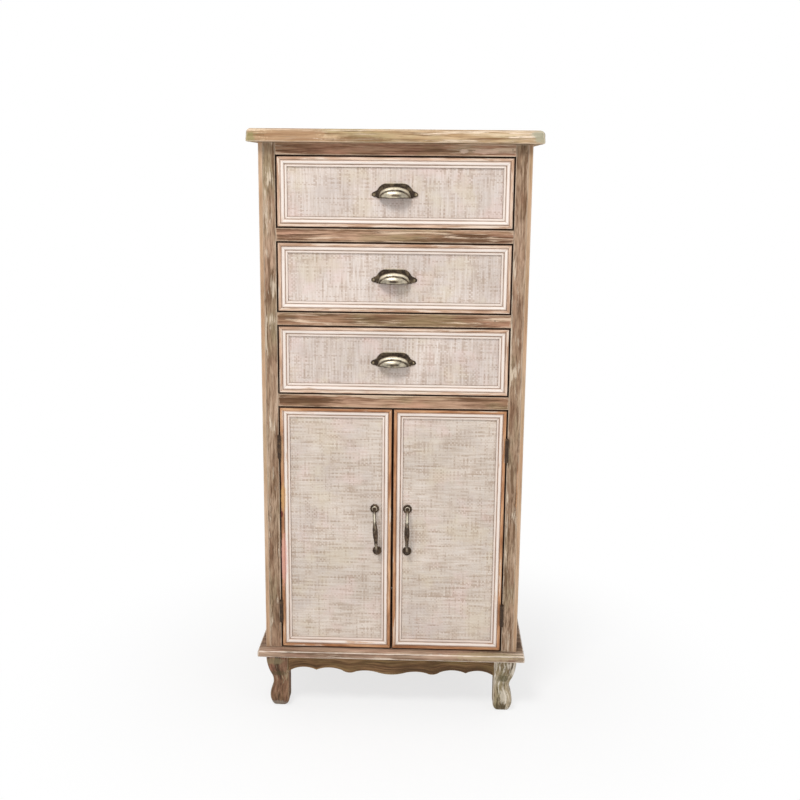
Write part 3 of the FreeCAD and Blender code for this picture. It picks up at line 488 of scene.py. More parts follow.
woods = {
    "top": wood(
        "worn_top_wood", ((176, 142, 104), (204, 175, 138), (226, 202, 168)), (128, 94, 56),
        (246, 226, 202), 0.46, 0.46, [((166, 154, 112), 0.5), ((214, 168, 130), 0.35)],
        [((0.249, -0.166, 1.066), (0.022, 0.03, 0.014), (164, 164, 142), 0.75),
         ((-0.175, -0.166, 1.064), (0.07, 0.03, 0.02), (166, 128, 94), 0.75),
         ((-0.055, -0.166, 1.058), (0.06, 0.02, 0.005), (128, 94, 62), 0.6),
         ((-0.249, -0.166, 1.060), (0.016, 0.03, 0.014), (146, 138, 92), 0.7)],
        calm=0.6, stave=TOP_STAVE),
    "rail": wood(
        "scraped_rail_wood", ((126, 90, 64), (162, 126, 98), (188, 152, 126)), (92, 62, 38),
        (222, 196, 170), 0.6, 0.5, [((142, 130, 92), 0.5), ((200, 150, 126), 0.5)],
        [((0.155, -0.145, 1.0405), (0.03, 0.01, 0.0045), (226, 192, 170), 0.75),
         ((0.118, -0.145, 1.041), (0.010, 0.01, 0.0045), (232, 204, 184), 0.7),
         ((0.2006, -0.145, 1.0437), (0.0014, 0.004, 0.0014), (62, 42, 30), 0.9),
         ((0.1782, -0.145, 0.7505), (0.0014, 0.004, 0.0014), (62, 42, 30), 0.9)],
        painted_gap_shade=0.85),
    "post": wood(
        "greyed_post_wood", ((134, 102, 78), (163, 135, 110), (188, 162, 138)), (100, 72, 47),
        (212, 194, 172), 0.5, 0.45, [((146, 136, 104), 0.5), ((186, 148, 124), 0.4)],
        [((0.2285, -0.145, 0.44), (0.0035, 0.01, 0.075), (196, 146, 104), 0.7),
         ((-0.2325, -0.145, 0.29), (0.0035, 0.01, 0.07), (196, 142, 106), 0.6)],
        painted_gap_shade=0.85, short=2.0),
    # On the slab the pale edge is strong: partly edge wear, partly a painted highlight along its
    # edges.
    "slab": wood(
        "washed_slab_wood", ((128, 102, 82), (168, 140, 118), (202, 174, 152)), (98, 72, 50),
        (228, 208, 188), 0.5, 0.5, [((152, 142, 112), 0.45), ((198, 156, 136), 0.4)],
        [((0.083, -0.165, 0.131), (0.05, 0.01, 0.007), (206, 208, 198), 0.6),
         ((0.175, -0.165, 0.126), (0.075, 0.02, 0.014), (184, 168, 132), 0.5)],
        edge=(240, 226, 210), edge_much=0.75, calm=0.7, stave=0.078),
    "apron": wood(
        "stained_apron_wood", ((104, 75, 47), (133, 100, 67), (152, 119, 82)), (76, 52, 30),
        (174, 146, 104), 0.55, 0.3, [((128, 112, 66), 0.5)]),
    "leg_left": wood(
        "reddish_leg_wood", ((96, 66, 46), (122, 89, 66), (146, 112, 87)), (64, 44, 26),
        (168, 148, 118), 0.55, 0.35, [((132, 120, 78), 0.5), ((176, 126, 104), 0.5)],
        [((-0.222, -0.15, 0.096), (0.022, 0.03, 0.009), (156, 142, 108), 0.6),
         ((-0.216, -0.15, 0.068), (0.022, 0.03, 0.008), (84, 72, 44), 0.65),
         ((-0.218, -0.15, 0.006), (0.03, 0.03, 0.008), (160, 150, 138), 0.5)],
        short=3.5),
    "leg_right": wood(
        "mossy_leg_wood", ((138, 122, 92), (176, 160, 132), (212, 198, 176)), (74, 60, 34),
        (232, 222, 206), 0.62, 0.62, [((124, 118, 74), 0.5), ((186, 150, 128), 0.3)],
        [((0.212, -0.15, 0.068), (0.016, 0.03, 0.011), (82, 76, 44), 0.6),
         ((0.214, -0.15, 0.032), (0.010, 0.03, 0.018), (222, 212, 194), 0.55)],
        short=3.5),
    "side": wood(
        "plain_side_wood", ((166, 132, 102), (184, 152, 122), (200, 170, 142)), (134, 98, 66),
        (212, 186, 160), 0.12, 0.12, [((192, 148, 114), 0.4), ((172, 154, 118), 0.25)],
        fibres=0.45, stave=0.074),
    "inner": wood(
        "bare_inner_wood", ((206, 172, 132), (218, 188, 148), (228, 200, 162)), (178, 142, 102),
        (234, 210, 176), 0.1, 0.1, rough=0.8, fibres=0.45, stave=0.09, by_depth=False),
}
print(len(woods), "kinds of wood")


# %% [markdown]
# ## The carcass boards
# Flat boards differ in the way of the grain, the wood, the rounding and the fineness. Modelling
# each by hand would repeat the work twelve times, so loops take their places from the CAD nodes.

# %% Boards of the carcass
WORN, LITTLE_WORN = (0.7, 0.8, 0.16), (0.6, 0.3, 0.05)  # radius, wear and relief in millimetres


def board_piece(node, kind, *sizes, body="carcass", name=None, bend=None):
    """A board of one kind of wood in place of a CAD node, with the sizes that board_shape takes."""
    shape = board_shape(*node_box(node), *sizes, bend=bend)
    piece(name or f"{node}_board", shape, woods[kind], body, [node])


FRONT_BOARDS = ("post_front_left", "post_front_right", "rail_top", "rail_upper", "rail_middle",
                "rail_lower", "side_panel_left", "side_panel_right")
for seed, node in enumerate(FRONT_BOARDS, start=11):
    kind = node.split("_")[0]
    step = (9.0, 2.2) if kind == "side" else (8.0, 1.5)
    board_piece(node, kind, 0 if kind == "rail" else 2, *WORN, step, seed)
PLAIN_BOARDS = ("post_back_left", "post_back_right", "back_panel", "shelf")
for seed, node in enumerate(PLAIN_BOARDS, start=31):
    board_piece(node, "inner", 0 if node == "shelf" else 2, *LITTLE_WORN, (30.0, 6.0), seed)
TOP, SLAB = node_box("top_panel"), node_box("base_panel")


def top_rounding(points):
    """The top panel's upper edge is rounded much more than its lower one."""
    return 2.4 + 5.9 * smooth(points[:, 2] - TOP[0][2], 3, 12)


def slab_rounding(points):
    """The base slab's upper edge is a soft bevel and its lower one a small round."""
    return 2.3 + 2.4 * smooth(points[:, 2] - SLAB[0][2], 3, 8)


board_piece("top_panel", "top", 0, top_rounding, 1.8, 0.3, (6.0, 1.7), 3, (9.6, 3.0))
board_piece("base_panel", "slab", 0, slab_rounding, 1.0, 0.22, (6.0, 2.4), 4, (5.6, 2.6),
            name="base_slab_board")


# %% [markdown]
# ## Legs and aprons
# The legs swell at the knee and draw in towards the toe; a joiner saws that line on two faces and
# rasps the corners round. The aprons' lower edge was cut with a fretsaw. Lofted sections would
# lose the grain, so a straight blank gets its rounding and fibres first and is then squeezed
# between the outlines of the CAD node, and the fibres run on through the curve.

# %% Bend the blanks of legs and aprons
def outline(node, along, across, side):
    """How far a CAD node reaches across at each place along it, on its low (-1) or high (+1) side:
    the farthest of its mesh corners beyond the middle, for each place that has one."""
    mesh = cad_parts[node].data
    corners = np.empty(len(mesh.vertices) * 3)
    mesh.vertices.foreach_get("co", corners)
    corners = corners.reshape(-1, 3) / MM
    reach = corners[:, across]
    half = side * (reach - (reach.min() + reach.max()) / 2) > 0
    places = np.round(corners[half, along], 2)
    order = np.lexsort((side * reach[half], places))
    places, reach = places[order], reach[half][order]
    last = np.append(places[1:] != places[:-1], True)
    return places[last], reach[last]


def squeezed(node, along, *ways):
    """A bend that maps a blank's width, each of the given ways, onto the width between the node's
    two outlines."""
    low, high = node_box(node)
    sides = {way: [outline(node, along, way, side) for side in (-1, 1)] for way in ways}

    def bend(points):
        bent = points.copy()
        for way, lines in sides.items():
            share = (points[:, way] - low[way]) / (high[way] - low[way])
            start, end = [np.interp(points[:, along], *line) for line in lines]
            bent[:, way] = start + share * (end - start)
        return bent

    return bend


LEG_WORN, APRON_WORN = (4.2, 1.4, 0.3), (1.2, 0.8, 0.25)
LEGS = ("leg_front_left", "leg_front_right", "leg_back_left", "leg_back_right")
for seed, node in enumerate(LEGS, start=51):
    board_piece(node, "leg_" + node.split("_")[-1], 2, *LEG_WORN, (2.0, 1.6), seed,
                name=f"{node}_carved", bend=squeezed(node, 2, 0, 1))
APRONS = {"apron_front": 0, "apron_left": 1, "apron_right": 1}
for seed, (node, way) in enumerate(APRONS.items(), start=61):
    board_piece(node, "apron", way, *APRON_WORN, (1.6, 1.6), seed,
                name=f"{node}_cut", bend=squeezed(node, way, 2))


# %% [markdown]
# ## Whitewashed frames
# Each front is framed by a strip with a flat rim, a groove, a half-round bead and an inner lip,
# mitred at the corners. The rim is bare orange wood; bead and lip were painted white and rubbed
# back. Separate materials would need faces cut along each line, so one material reads how far a
# point lies from the outer edge.

# %% Frame material
def frame_wood(name, tones, chalky, spots=()):
    """Bare rim in three tones with a share of chalk, a groove darkened as painted shade, a worn
    white bead whose top is lighter as a painted highlight, a quirk darkened as painted shade and a
    pale lip, each in its band of distance from the frame's outer edge. The outer edge of the rim
    and the sides are darkened as painted shade in the gaps round each front, near black close to
    the front, and the back is bare."""
    finish = Finish(name)
    grain, across, behind = [finish.mark(mark) for mark in ("grain", "across", "behind")]
    lines = grain.noise((24, 520, 520), 3, 0.6)
    wide = grain.noise((9, 60, 60), 4, 0.62, 0.3)
    shade = lines.ramp((0.3, (200, 190, 180)), (0.6, WHITE))
    bare = wide.ramp(*zip(BANDS, tones)).mix(1.0, shade, "MULTIPLY")
    start = 0.66 - 0.3 * chalky
    chalk = grain.noise((10, 150, 150), 6, 0.7, 0.4).between(start, start + 0.08)
    bare = bare.mix(chalk * 0.8, (228, 210, 192))
    rub = grain.noise((18, 260, 260), 6, 0.7, shift=(4, 2, 8))
    keeps = (rub + wide * 0.4).between(0.93, 0.80) * 0.92
    drift = grain.noise((40, 90, 90), 3)
    where = across + drift * 0.0009 - 0.00045
    bead = where.band(0.0058, 0.0070, 0.0128, 0.0138)
    highlit_crest = where.band(0.0082, 0.0092, 0.0112, 0.0124)
    lip = where.between(0.0139, 0.0146)
    paint = wide.ramp((0.36, (206, 184, 168)), (0.6, (228, 210, 198)))
    # Painted highlight: the top of the bead is lighter; the lip gets the same pale paint, less
    # strongly.
    paint = paint.mix(highlit_crest * 0.9 + lip * 0.6, (238, 230, 223))
    front = behind.between(0.010, 0.006)
    colour = bare.mix((bead + lip * 0.9) * keeps * front, paint)
    # Painted shade: the groove and the quirk are darkened.
    groove = where.band(0.0053, 0.0060, 0.0066, 0.0074)
    quirk = where.band(0.0127, 0.0134, 0.0138, 0.0145)
    colour = colour.mix((groove * 0.3 + quirk * 0.55) * front, (120, 94, 78))
    # Painted shade: the outer edge of the rim and the frame's sides are darkened brown, near black
    # close
    # to the front, for the shade in the gaps round each front.
    side = (across + drift * 0.0008).between(0.0019, 0.0012)
    colour = colour.mix(side * 0.75, (132, 98, 70))
    colour = colour.mix(side * behind.between(0.0075, 0.0030) * 0.88, (54, 29, 19)).spots(spots)
    return finish.done(colour, 0.7, lines + rub * 0.6, 0.0004, Specular_IOR_Level=0.3)


GROOVE_AT, GROOVE_HALF = 6.2, 0.7
BEAD_FROM, BEAD_WIDE, QUIRK_FROM, LIP_FROM = 6.9, 6.3, 13.2, 14.0


def moulding_depth(u):
    """Depth of the moulding below the frame's face at a distance u from its outer edge, in
    millimetres: a broken edge, a flat, a V groove, a half-round bead that falls inward, a quirk
    and a lip."""
    depth = np.maximum(0.55 - u, 0) + 0.05
    depth += 1.45 * np.clip(1 - np.abs(u - GROOVE_AT) / GROOVE_HALF, 0, 1)
    share = np.clip((u - BEAD_FROM) / BEAD_WIDE, 0, 1)
    bead = 0.15 + 1.5 * share ** 2.2 - 0.15 * np.sin(math.pi * share)
    bead += 1.6 * (1 - np.sqrt(np.clip(1 - (2 * share - 1) ** 6, 0, 1)))
    depth = np.where(u > BEAD_FROM, bead, depth)
    depth = np.where(u > QUIRK_FROM, 3.2, depth)
    return np.where(u > LIP_FROM, 2.3 + 0.5 * np.maximum(0, u - 17.1), depth)


RIM = np.array([0, 0.3, 0.6, 1.6, 2.9, 4.2, 5.3, 5.55, 6.2, 6.85, 6.95, 7.2, 7.7, 8.6, 9.6, 10.6,
                11.6, 12.4, 12.9, 13.15, 13.25, 13.95, 14.05, 14.6, 15.8, 17.1, 17.5])
FACE, FRAME_BACK = -145.0, -129.0


def frame_shape(low, high, seed):
    """Four mitred lengths of moulding between two corners of a front: bottom, top, left, right.
    Each is a lattice of places along it, front and back, and distance u from the outer edge. A
    place s on a length L moves to u + s (L - 2 u) / L, which is the mitre."""
    strips = []
    for side in range(4):
        flat = side < 2
        length = (high[0] - low[0]) if flat else (high[2] - low[2])
        along = stations(0, length, 3.0, (1.0,))
        points, faces = lattice([along, np.array([0.0, 1.0]), RIM])
        s, back, u = points.T
        share = s / length
        place = u + 0.06 + share * (length - 2 * u - 0.12)
        local = np.stack([place + 400 * side, u, back * 9], 1)
        dent = 0.3 * noise(local, (16, 3.5, 3.5), seed + side) ** 3
        dent += 0.12 * noise(local, (60, 0.9, 0.9), seed + side + 7)
        depth = moulding_depth(u) + dent * (u > 0.3)
        depth += 0.4 * smooth(np.abs(share - 0.5), 0.5 - 1.2 / length, 0.5)
        y = np.where(back > 0, FRAME_BACK, FACE + depth)
        inward = u + 0.3 * noise(local, (22, 9, 9), seed + side + 3) ** 2 * (u < 0.7)
        if flat:
            z = high[2] - inward if side else low[2] + inward
            bent = np.stack([low[0] + place, y, z], 1)
        else:
            x = low[0] + inward if side == 2 else high[0] - inward
            bent = np.stack([x, y, low[2] + place], 1)
        if side in (1, 2):
            faces = faces[:, ::-1]
        own = offset([[seed, side, k] for k in range(3)], 9, 3000)
        marks = {"grain": (np.stack([place, u, back * 12], 1) + own) * MM, "across": u * MM,
                 "behind": (y - FACE) * MM}
        strips.append((bent, faces, marks))
    return join(strips)


print("the moulding is", RIM[-1], "mm wide and up to", moulding_depth(RIM).max(), "mm deep")


# %% [markdown]
# ## Woven faces
# The fronts are coarse sacking glued to a board and brushed with whitewash; on the drawers the
# threads that run up show most, on the doors those that run across. A bump map would go flat at a
# glancing view, so the plain weave is real relief: at each crossing one thread rides over the
# other.

# %% Weave material and shape
CLOTH_TINTS = ((222, 200, 194), (212, 200, 180), (198, 186, 180))
PITCH = 3.4


def woven(name, light, gap, upright):
    """Whitewash on raised threads, brown sacking in the gaps, and the pale colour differing from
    thread to thread and from patch to patch."""
    finish = Finish(name)
    grain = finish.mark("grain")
    cloud = grain.noise(9, 5, 0.6)
    base = cloud.ramp((0.36, [part - 9 for part in light]), (0.64, [part + 7 for part in light]))
    fuzz = grain.noise((300, 22, 60) if upright else (22, 300, 60), 4, 0.65)
    base = base.mix(0.7, fuzz.ramp((0.34, (226, 218, 210)), (0.56, WHITE)), "MULTIPLY")
    for index, tint in enumerate(CLOTH_TINTS):
        patch = grain.noise(14, 5, 0.6, shift=(3 * index, 5, 7 - index))
        base = base.mix(patch.between(0.5, 0.66) * 0.5, tint)
    tone = finish.mark("tone").ramp((0.06, (224, 214, 206)), (0.42, (250, 247, 244)), (0.9, WHITE))
    base = base.mix(1.0, tone, "MULTIPLY")
    crumbs = grain.noise(420, 3)
    deep = finish.mark("crown") + crumbs * 0.4 + cloud * 0.7
    colour = base.mix(deep.between(0.92, 0.54) * 0.95, gap)
    stain = grain.noise((22, 30, 20), 6, 0.7, shift=(2, 9, 4))
    colour = colour.mix(stain.between(0.58, 0.7) * 0.25, (186, 164, 144))
    return finish.done(colour, 0.85, crumbs, 0.0002, Specular_IOR_Level=0.2)


def weave_shape(low, high, face, step, seed, upright):
    """A sheet of plain weave whose highest threads touch the face plane. A thread's section is
    half round; it rises and falls as a cosine, over at one crossing and under at the next; the
    surface is the higher of the two threads. The rim is turned back into the board."""
    x, z = [np.linspace(low[way], high[way], int((high[way] - low[way]) / step) + 1)
            for way in (0, 2)]
    gx, gz = [part.ravel() for part in np.meshgrid(x, z, indexing="ij")]
    flat = np.stack([gx, np.full(gx.size, seed * 77.0), gz], 1)
    u = gx / PITCH + 0.5 * noise(flat, (12, 1, 60), seed) - 0.25
    v = gz / PITCH + 0.5 * noise(flat, (60, 1, 12), seed + 1) - 0.25
    i, j = np.round(u), np.round(v)
    sign = np.where((i + j) % 2 == 0, 1.0, -1.0)
    thick, thin, rise = 0.80, 0.55, 0.24
    up_size = (thick if upright else thin) + 0.3 * noise(flat, (2.6, 1, 22), seed + 2)
    over_size = (thin if upright else thick) + 0.3 * noise(flat, (22, 1, 2.6), seed + 3)
    up = up_size * np.sqrt(np.clip(1 - (2 * (u - i)) ** 2, 0, 1))
    up += rise * np.cos(math.pi * (v - j)) * sign
    over = over_size * np.sqrt(np.clip(1 - (2 * (v - j)) ** 2, 0, 1))
    over -= rise * np.cos(math.pi * (u - i)) * sign
    height = np.maximum(up, over)
    rank = np.where(up > over, i, j + 500)
    run = np.where(up > over, gz, gx)
    tone = noise(np.stack([rank, run, rank * 0], 1), (1, 26, 1), seed + 4)
    border = (gx == x[0]) | (gx == x[-1]) | (gz == z[0]) | (gz == z[-1])
    y = face + np.where(border, 3.4, 0.7 * np.clip(1.3 - height, 0, 1.6))
    marks = {"grain": np.stack([gx, gz, gx * 0], 1) * MM + seed * 0.37,
             "crown": np.clip(height / 1.15, 0, 1), "tone": tone}
    return np.stack([gx, y, gz], 1), grid_faces(len(x), len(z))[:, ::-1], marks


print("about", int(168 / PITCH), "threads across a door")


# %% [markdown]
# ## Fronts
# Drawer fronts and doors differ only in size, in which threads show and in their seed. Copies of
# one front would show the same dents five times, so a loop builds each from its own seed.

# %% Build the drawer fronts and doors
FRAMES = {
    "drawer": frame_wood("whitewashed_frame_wood",
                         ((186, 148, 120), (212, 178, 152), (228, 200, 178)), 0.55),
    "door": frame_wood("whitewashed_door_wood",
                       ((164, 112, 76), (196, 144, 104), (216, 172, 132)), 0.3,
                       [((-0.2035, -0.145, 0.388), (0.0035, 0.01, 0.007), (88, 30, 24), 0.9),
                        ((-0.1995, -0.145, 0.30), (0.007, 0.01, 0.06), (226, 168, 160), 0.5),
                        ((-0.1995, -0.145, 0.42), (0.006, 0.01, 0.03), (222, 178, 112), 0.4)]),
}
WEAVES = {"drawer": woven("drawer_sacking", (217, 206, 199), (122, 101, 88), True),
          "door": woven("door_sacking", (215, 204, 194), (118, 98, 82), False)}
BOARD_FACE, BACKING = -140.0, (-137.6, -129.3)
WEAVE_STEP, THIN_WORN = 0.88, (0.4, 0.2, 0.1)
DRAWERS = ("drawer_top", "drawer_middle", "drawer_bottom")
inner = np.array([RIM[-1] - 0.3, 0, RIM[-1] - 0.3])
for seed, front in zip(range(101, 222, 30), (*DRAWERS, "door_left", "door_right")):
    kind = front.split("_")[0]
    low, high = node_box(f"{front}_frame")
    piece(f"{front}_moulding", frame_shape(low, high, seed), FRAMES[kind], front,
          [f"{front}_frame"], sharp=50)
    low, high = low + inner, high - inner
    shape = weave_shape(low, high, BOARD_FACE, WEAVE_STEP, seed, kind == "drawer")
    piece(f"{front}_weave", shape, WEAVES[kind], front,
          [f"{front}_panel"], sharp=180)
    low[1], high[1] = BACKING
    shape = board_shape(low, high, 0, *THIN_WORN, (20, 5), seed + 5)
    piece(f"{front}_backing", shape, woods["inner"], front)


# %% [markdown]
# ## Metals
# The pulls are cast, with a dark brown film in the hollows and a pale, yellowish rub where hands
# go. Plain shiny metal would look new, so a mark on the mesh says how worn each point is and where
# highlights and shade are painted on, and the pale colour wins where it is high. Hinges, pins and
# plates stay CAD meshes and read their place instead.

# %% Metal materials
def metal(name, dark, rub_and_highlight, patina, rough, shine=1.0, rubs_and_highlights=False):
    """Metal with cloudy film, pits, fine scratches and, where a piece carries the mark, worn high
    places and painted highlights."""
    finish = Finish(name)
    place = finish.place()
    cloud = place.noise(130, 5, 0.65)
    film = {0: cloud.between(0.42, 0.62), 6: linear(dark), 7: linear(patina)}
    colour = finish.add("Mix", film, 2, data_type="RGBA")
    # The mark holds wear together with painted highlights and shade.
    if rubs_and_highlights:
        high = (finish.mark("wear_and_highlight") + cloud * 0.5).between(0.6, 1.4)
    else:
        high = cloud.between(0.56, 0.74)
    pits = place.noise(1100, 3, 0.6)
    scratch = place.noise((300, 2600, 900))
    colour = colour.mix(high, rub_and_highlight)
    colour = colour.mix(pits.between(0.4, 0.3) * 0.6, [part * 0.5 for part in dark])
    gloss = cloud * 0.22 + scratch * 0.12 + (rough - 0.17)
    return finish.done(colour, gloss, pits + scratch * 0.3, 0.00012, Metallic=shine)


BRONZE = metal("worn_and_highlit_bronze", (54, 43, 33), (236, 226, 202), (98, 83, 64), 0.46, 0.7, True)
PULL_BRONZE = metal("brown_bronze", (60, 47, 36), (226, 216, 194), (98, 80, 62), 0.46, 0.7, True)
SCREW = metal("dull_screws", (92, 78, 58), (222, 212, 188), (164, 150, 122), 0.5, 0.7)
DARK_STEEL = metal("dark_hinge_steel", (58, 42, 30), (120, 94, 68), (80, 60, 43), 0.55, 0.5)
PLAIN_STEEL = metal("bright_screw_steel", (150, 150, 148), (206, 206, 204), (172, 172, 170), 0.34)
print("five metals")


# %% [markdown]
# ## Surfaces that turn about a line
# Screws and the pulls' round feet are turned on a lathe: a profile carried once round its axis.
# A Screw modifier would leave open ends; here both ends of the profile lie on the axis.

# %% Turned shapes
def turned(profile, centre, axis, around=40, ripple=None, highlight_ring_at=-99.0):
    """A profile of (distance along the axis, radius) carried round the axis through a centre.
    ripple changes the radius by the angle and by the share along the profile. A ring near one
    radius is marked bright, as a bell curve, as a painted highlight."""
    profile = np.array(profile, float)
    axis = np.array(axis, float) / np.linalg.norm(axis)
    side = np.cross(axis, (0, 0, 1.0) if abs(axis[2]) < 0.9 else (1.0, 0, 0))
    side /= np.linalg.norm(side)
    other = np.cross(axis, side)
    angle = np.arange(around) * 2 * math.pi / around
    radius = np.repeat(profile[:, 1:], around, axis=1)
    if ripple:
        radius = radius * ripple(angle[None, :], np.linspace(0, 1, len(profile))[:, None])
    ring = np.cos(angle)[:, None] * side + np.sin(angle)[:, None] * other
    points = np.array(centre) + profile[:, :1, None] * axis + radius[..., None] * ring[None]
    faces = grid_faces(len(profile), around, closed=True)[:, ::-1]
    wear_and_highlight = 0.1 + 0.8 * bell(radius - highlight_ring_at, 0.9)
    return points.reshape(-1, 3), faces, {"wear_and_highlight": wear_and_highlight.ravel()}


sample = turned([(0, 0), (0, 2), (1, 2), (1, 0)], (0, 0, 0), (0, 1, 0))
print("a turned disc has", len(sample[1]), "faces")


# %% [markdown]
# ## Cup pulls
# A cup pull is a thin shell like a quarter of an egg, open underneath for the fingers, on a plate
# with an ear and a screw at each end. A sphere joined to a box would leave a knife edge at the
# mouth, so one surface goes up outside, round the rolled rim and back inside.

# %% Cup pull parts
CUP = {"wide": 28.5, "out": 20.5, "high": 25.0, "sunk": 4.5, "wall": 1.6}
CUP_ROWS, CUP_COLUMNS, BOXY, DOME_HALF, DOME_HIGH = 44, 84, 3.0, 24.5, 12.2


def cup_shell(base):
    """A boxy quarter egg. A direction (X, Y, Z) = (cos t sin p, sin t sin p, cos p) is stretched
    until the sum of |X|^n, |Y|^n and |Z|^n is 1, and each part is multiplied by the egg's own
    half width, depth and height; first outside, then inside with smaller ones. Seen from the
    front, a crease follows the ellipse (x / dome half)^2 + (z / dome high)^2 = 1.12^2, so that a
    dome is left under a ridge. The mark is high near where that sum's root is 1.42 - 0.2
    (x / wide)^2, for wear on the ridge and a painted highlight; elsewhere it holds painted
    highlights and shade."""
    flat, full = np.zeros(CUP_ROWS), np.ones(CUP_ROWS)
    rise = np.linspace(0, 1, CUP_ROWS)
    tilt = np.concatenate([rise, [1, 1, 1], rise[::-1]])[:, None]
    inside = np.concatenate([flat, [0.15, 0.5, 0.85], full])[:, None]
    lip = np.concatenate([flat, [0.35, 0.5, 0.35], flat])[:, None]
    a, b, c = [CUP[way] - CUP["wall"] * inside for way in ("wide", "out", "high")]
    p = tilt * np.arccos(CUP["sunk"] / c)
    t = np.linspace(0, math.pi, CUP_COLUMNS)[None, :]
    sideways, forward = np.cos(t) * np.sin(p), np.sin(t) * np.sin(p)
    up = np.cos(p) + 0 * t
    stretch = (np.abs(sideways) ** BOXY + forward ** BOXY + up ** BOXY) ** (-1 / BOXY)
    x = a * sideways * np.minimum(stretch, 1.06)
    z = np.minimum(c * up * stretch, c)
    ring = np.hypot(x / DOME_HALF, np.maximum(z - CUP["sunk"], 0) / DOME_HIGH)
    step = 1 - 0.03 * bell(ring - 1.12, 0.09)
    step = step - 0.03 * smooth(forward * stretch, 0.24, 0.16)
    step = np.where(inside > 0, 0.96, step)
    x = x * step
    out = b * forward * step * np.minimum(stretch, 1.0)
    z = z * step - CUP["sunk"]
    z = np.maximum(z + (0.5 - 0.6 * up) * (tilt > 0.999) - lip, 0.02)
    points = np.stack([x, BOARD_FACE - out, base + z], 2).reshape(-1, 3)
    # Partly wear, partly painted light: the ridge is worn and lit as a painted highlight, darker
    # a dark patch low in the middle is a painted dark reflection, a bright patch at the upper left
    # a
    # painted highlight, and the mark fades out at the lower edge as painted shade.
    # towards the sides; the front inside the ridge and the dome are lighter as painted highlights;
    highlit_crest = 1.42 - 0.2 * (x / CUP["wide"]) ** 2
    rub_and_highlight = 1.1 * bell(ring - highlit_crest, 0.13) * (1 - 0.8 * np.abs(sideways) ** 1.8)
    rub_and_highlight = rub_and_highlight + 0.3 * smooth(ring, 1.06, 0.96) + 0.32 * smooth(ring, 1.7, 1.5)
    rub_and_highlight = rub_and_highlight - 0.5 * bell(x - 1, 8) * bell(z - 5.0, 2.0)
    rub_and_highlight = rub_and_highlight + 0.4 * bell(x + 6, 9) * bell(z - 9.4, 1.5)
    rub_and_highlight = rub_and_highlight * smooth(up, 0.17, 0.24)
    wear_and_highlight = np.clip(np.where(inside > 0.2, 0.0, 0.06 + rub_and_highlight), 0, 1)
    return points, grid_faces(len(tilt), CUP_COLUMNS), {"wear_and_highlight": wear_and_highlight.ravel()}


PLATE_HALF = np.array([
    (0.0, 30.5), (1.6, 31.6), (1.9, 33.5), (2.2, 37.0), (4.0, 39.6), (6.2, 40.4), (8.4, 39.8),
    (10.4, 37.4), (11.6, 34.2), (12.8, 31.6), (14.6, 30.0), (17.0, 28.6), (20.0, 26.2),
    (22.6, 23.0), (24.4, 19.6), (25.5, 16.0), (26.0, 12.6)])
PLATE_ROWS = np.array([0, 0.4, 1.2, 1.9, 2.6, 3.6, 4.8, 6.2, 7.6, 8.8, 10, 11, 12, 13.2, 14.6, 17,
                       20, 22.5, 24.4, 25.4, 26.0])
PLATE_ROUND = 0.9


def cup_plate(base):
    """The plate: a half width for each height, with a front edge rounded as a quarter circle. Rows
    go up the plate and columns from its left back edge over the front to its right back edge."""
    heights = PLATE_ROWS[:, None]
    half = np.interp(heights, *PLATE_HALF.T)
    across = np.concatenate([[-1, -1], np.linspace(-1, 1, 61), [1, 1]])[None, :]
    from_top = np.minimum(heights, PLATE_ROWS[-1] - heights)
    near = np.minimum(half - np.abs(across) * half, from_top)
    fall = np.clip(1 - near / PLATE_ROUND, 0, 1)
    out = CUP["wall"] - PLATE_ROUND * (1 - np.sqrt(1 - fall ** 2))
    out[:, 0] = out[:, -1] = out[0, :] = out[-1, :] = 0.0
    points = np.stack(np.broadcast_arrays(across * half, BOARD_FACE - out, base + heights), 2)
    shine = np.clip(1 - near / 1.7, 0, 1)
    # The edges are marked a little all round as wear, and much more along the top edge as a painted
    # highlight.
    wear_and_highlight = np.clip(0.05 + 1.3 * shine * smooth(heights, 23.5, 25.5) + 0.35 * shine, 0, 1)
    faces = grid_faces(len(heights), across.shape[1])[:, ::-1]
    return points.reshape(-1, 3), faces, {"wear_and_highlight": wear_and_highlight.ravel()}


def screw_shape(centre, radius, height):
    """A domed screw head: at a share s of the radius it is height times the root of 1 - s^2."""
    share = np.linspace(1, 0, 9)
    dome = np.stack([height * np.sqrt(1 - share ** 2), radius * share], 1)
    profile = np.concatenate([[[-0.5, 0.0], [-0.5, radius]], dome])
    return turned(profile, centre, (0, -1, 0), 24)


SCREW_OUT, SCREW_UP = 35.8, 6.2
for front in DRAWERS:
    base = node_box(f"{front}_pull")[0][2]
    shape = join([cup_shell(base), cup_plate(base)])
    piece(f"{front}_cup", shape, BRONZE, front, [f"{front}_pull"], sharp=60)
    heads = [screw_shape((x, BOARD_FACE - 1.55, base + SCREW_UP), 2.6, 2.3)
             for x in (-SCREW_OUT, SCREW_OUT)]
    piece(f"{front}_screws", join(heads), SCREW, front,
          [f"{front}_pull_screws"], sharp=60)


# %% [markdown]
# ## Bow pulls
# Each door has a bar, cast in one with its flower-shaped feet, that bends along the door and
# swells into a fluted grip. A bevelled curve could not carry the flutes, so the bar is a circle
# carried along the bent line, and the feet are turned with petals.

# %% Bow pull parts
FOOT = [(0.0, 0.0), (0.0, 8.35), (1.4, 8.38), (2.2, 7.9), (2.7, 7.0), (2.8, 6.2), (2.4, 5.6),
        (2.4, 5.2), (3.2, 4.8), (3.9, 4.2), (4.3, 3.5), (4.6, 2.9), (4.6, 0.0)]
BAR_AROUND, FLUTES, BOW_OUT, BOW_BEND = 32, 9, 19.5, 12.0
BAR_RADIUS, GRIP_HALF, RINGS = 2.8, 15.0, (19.5, 22.5)


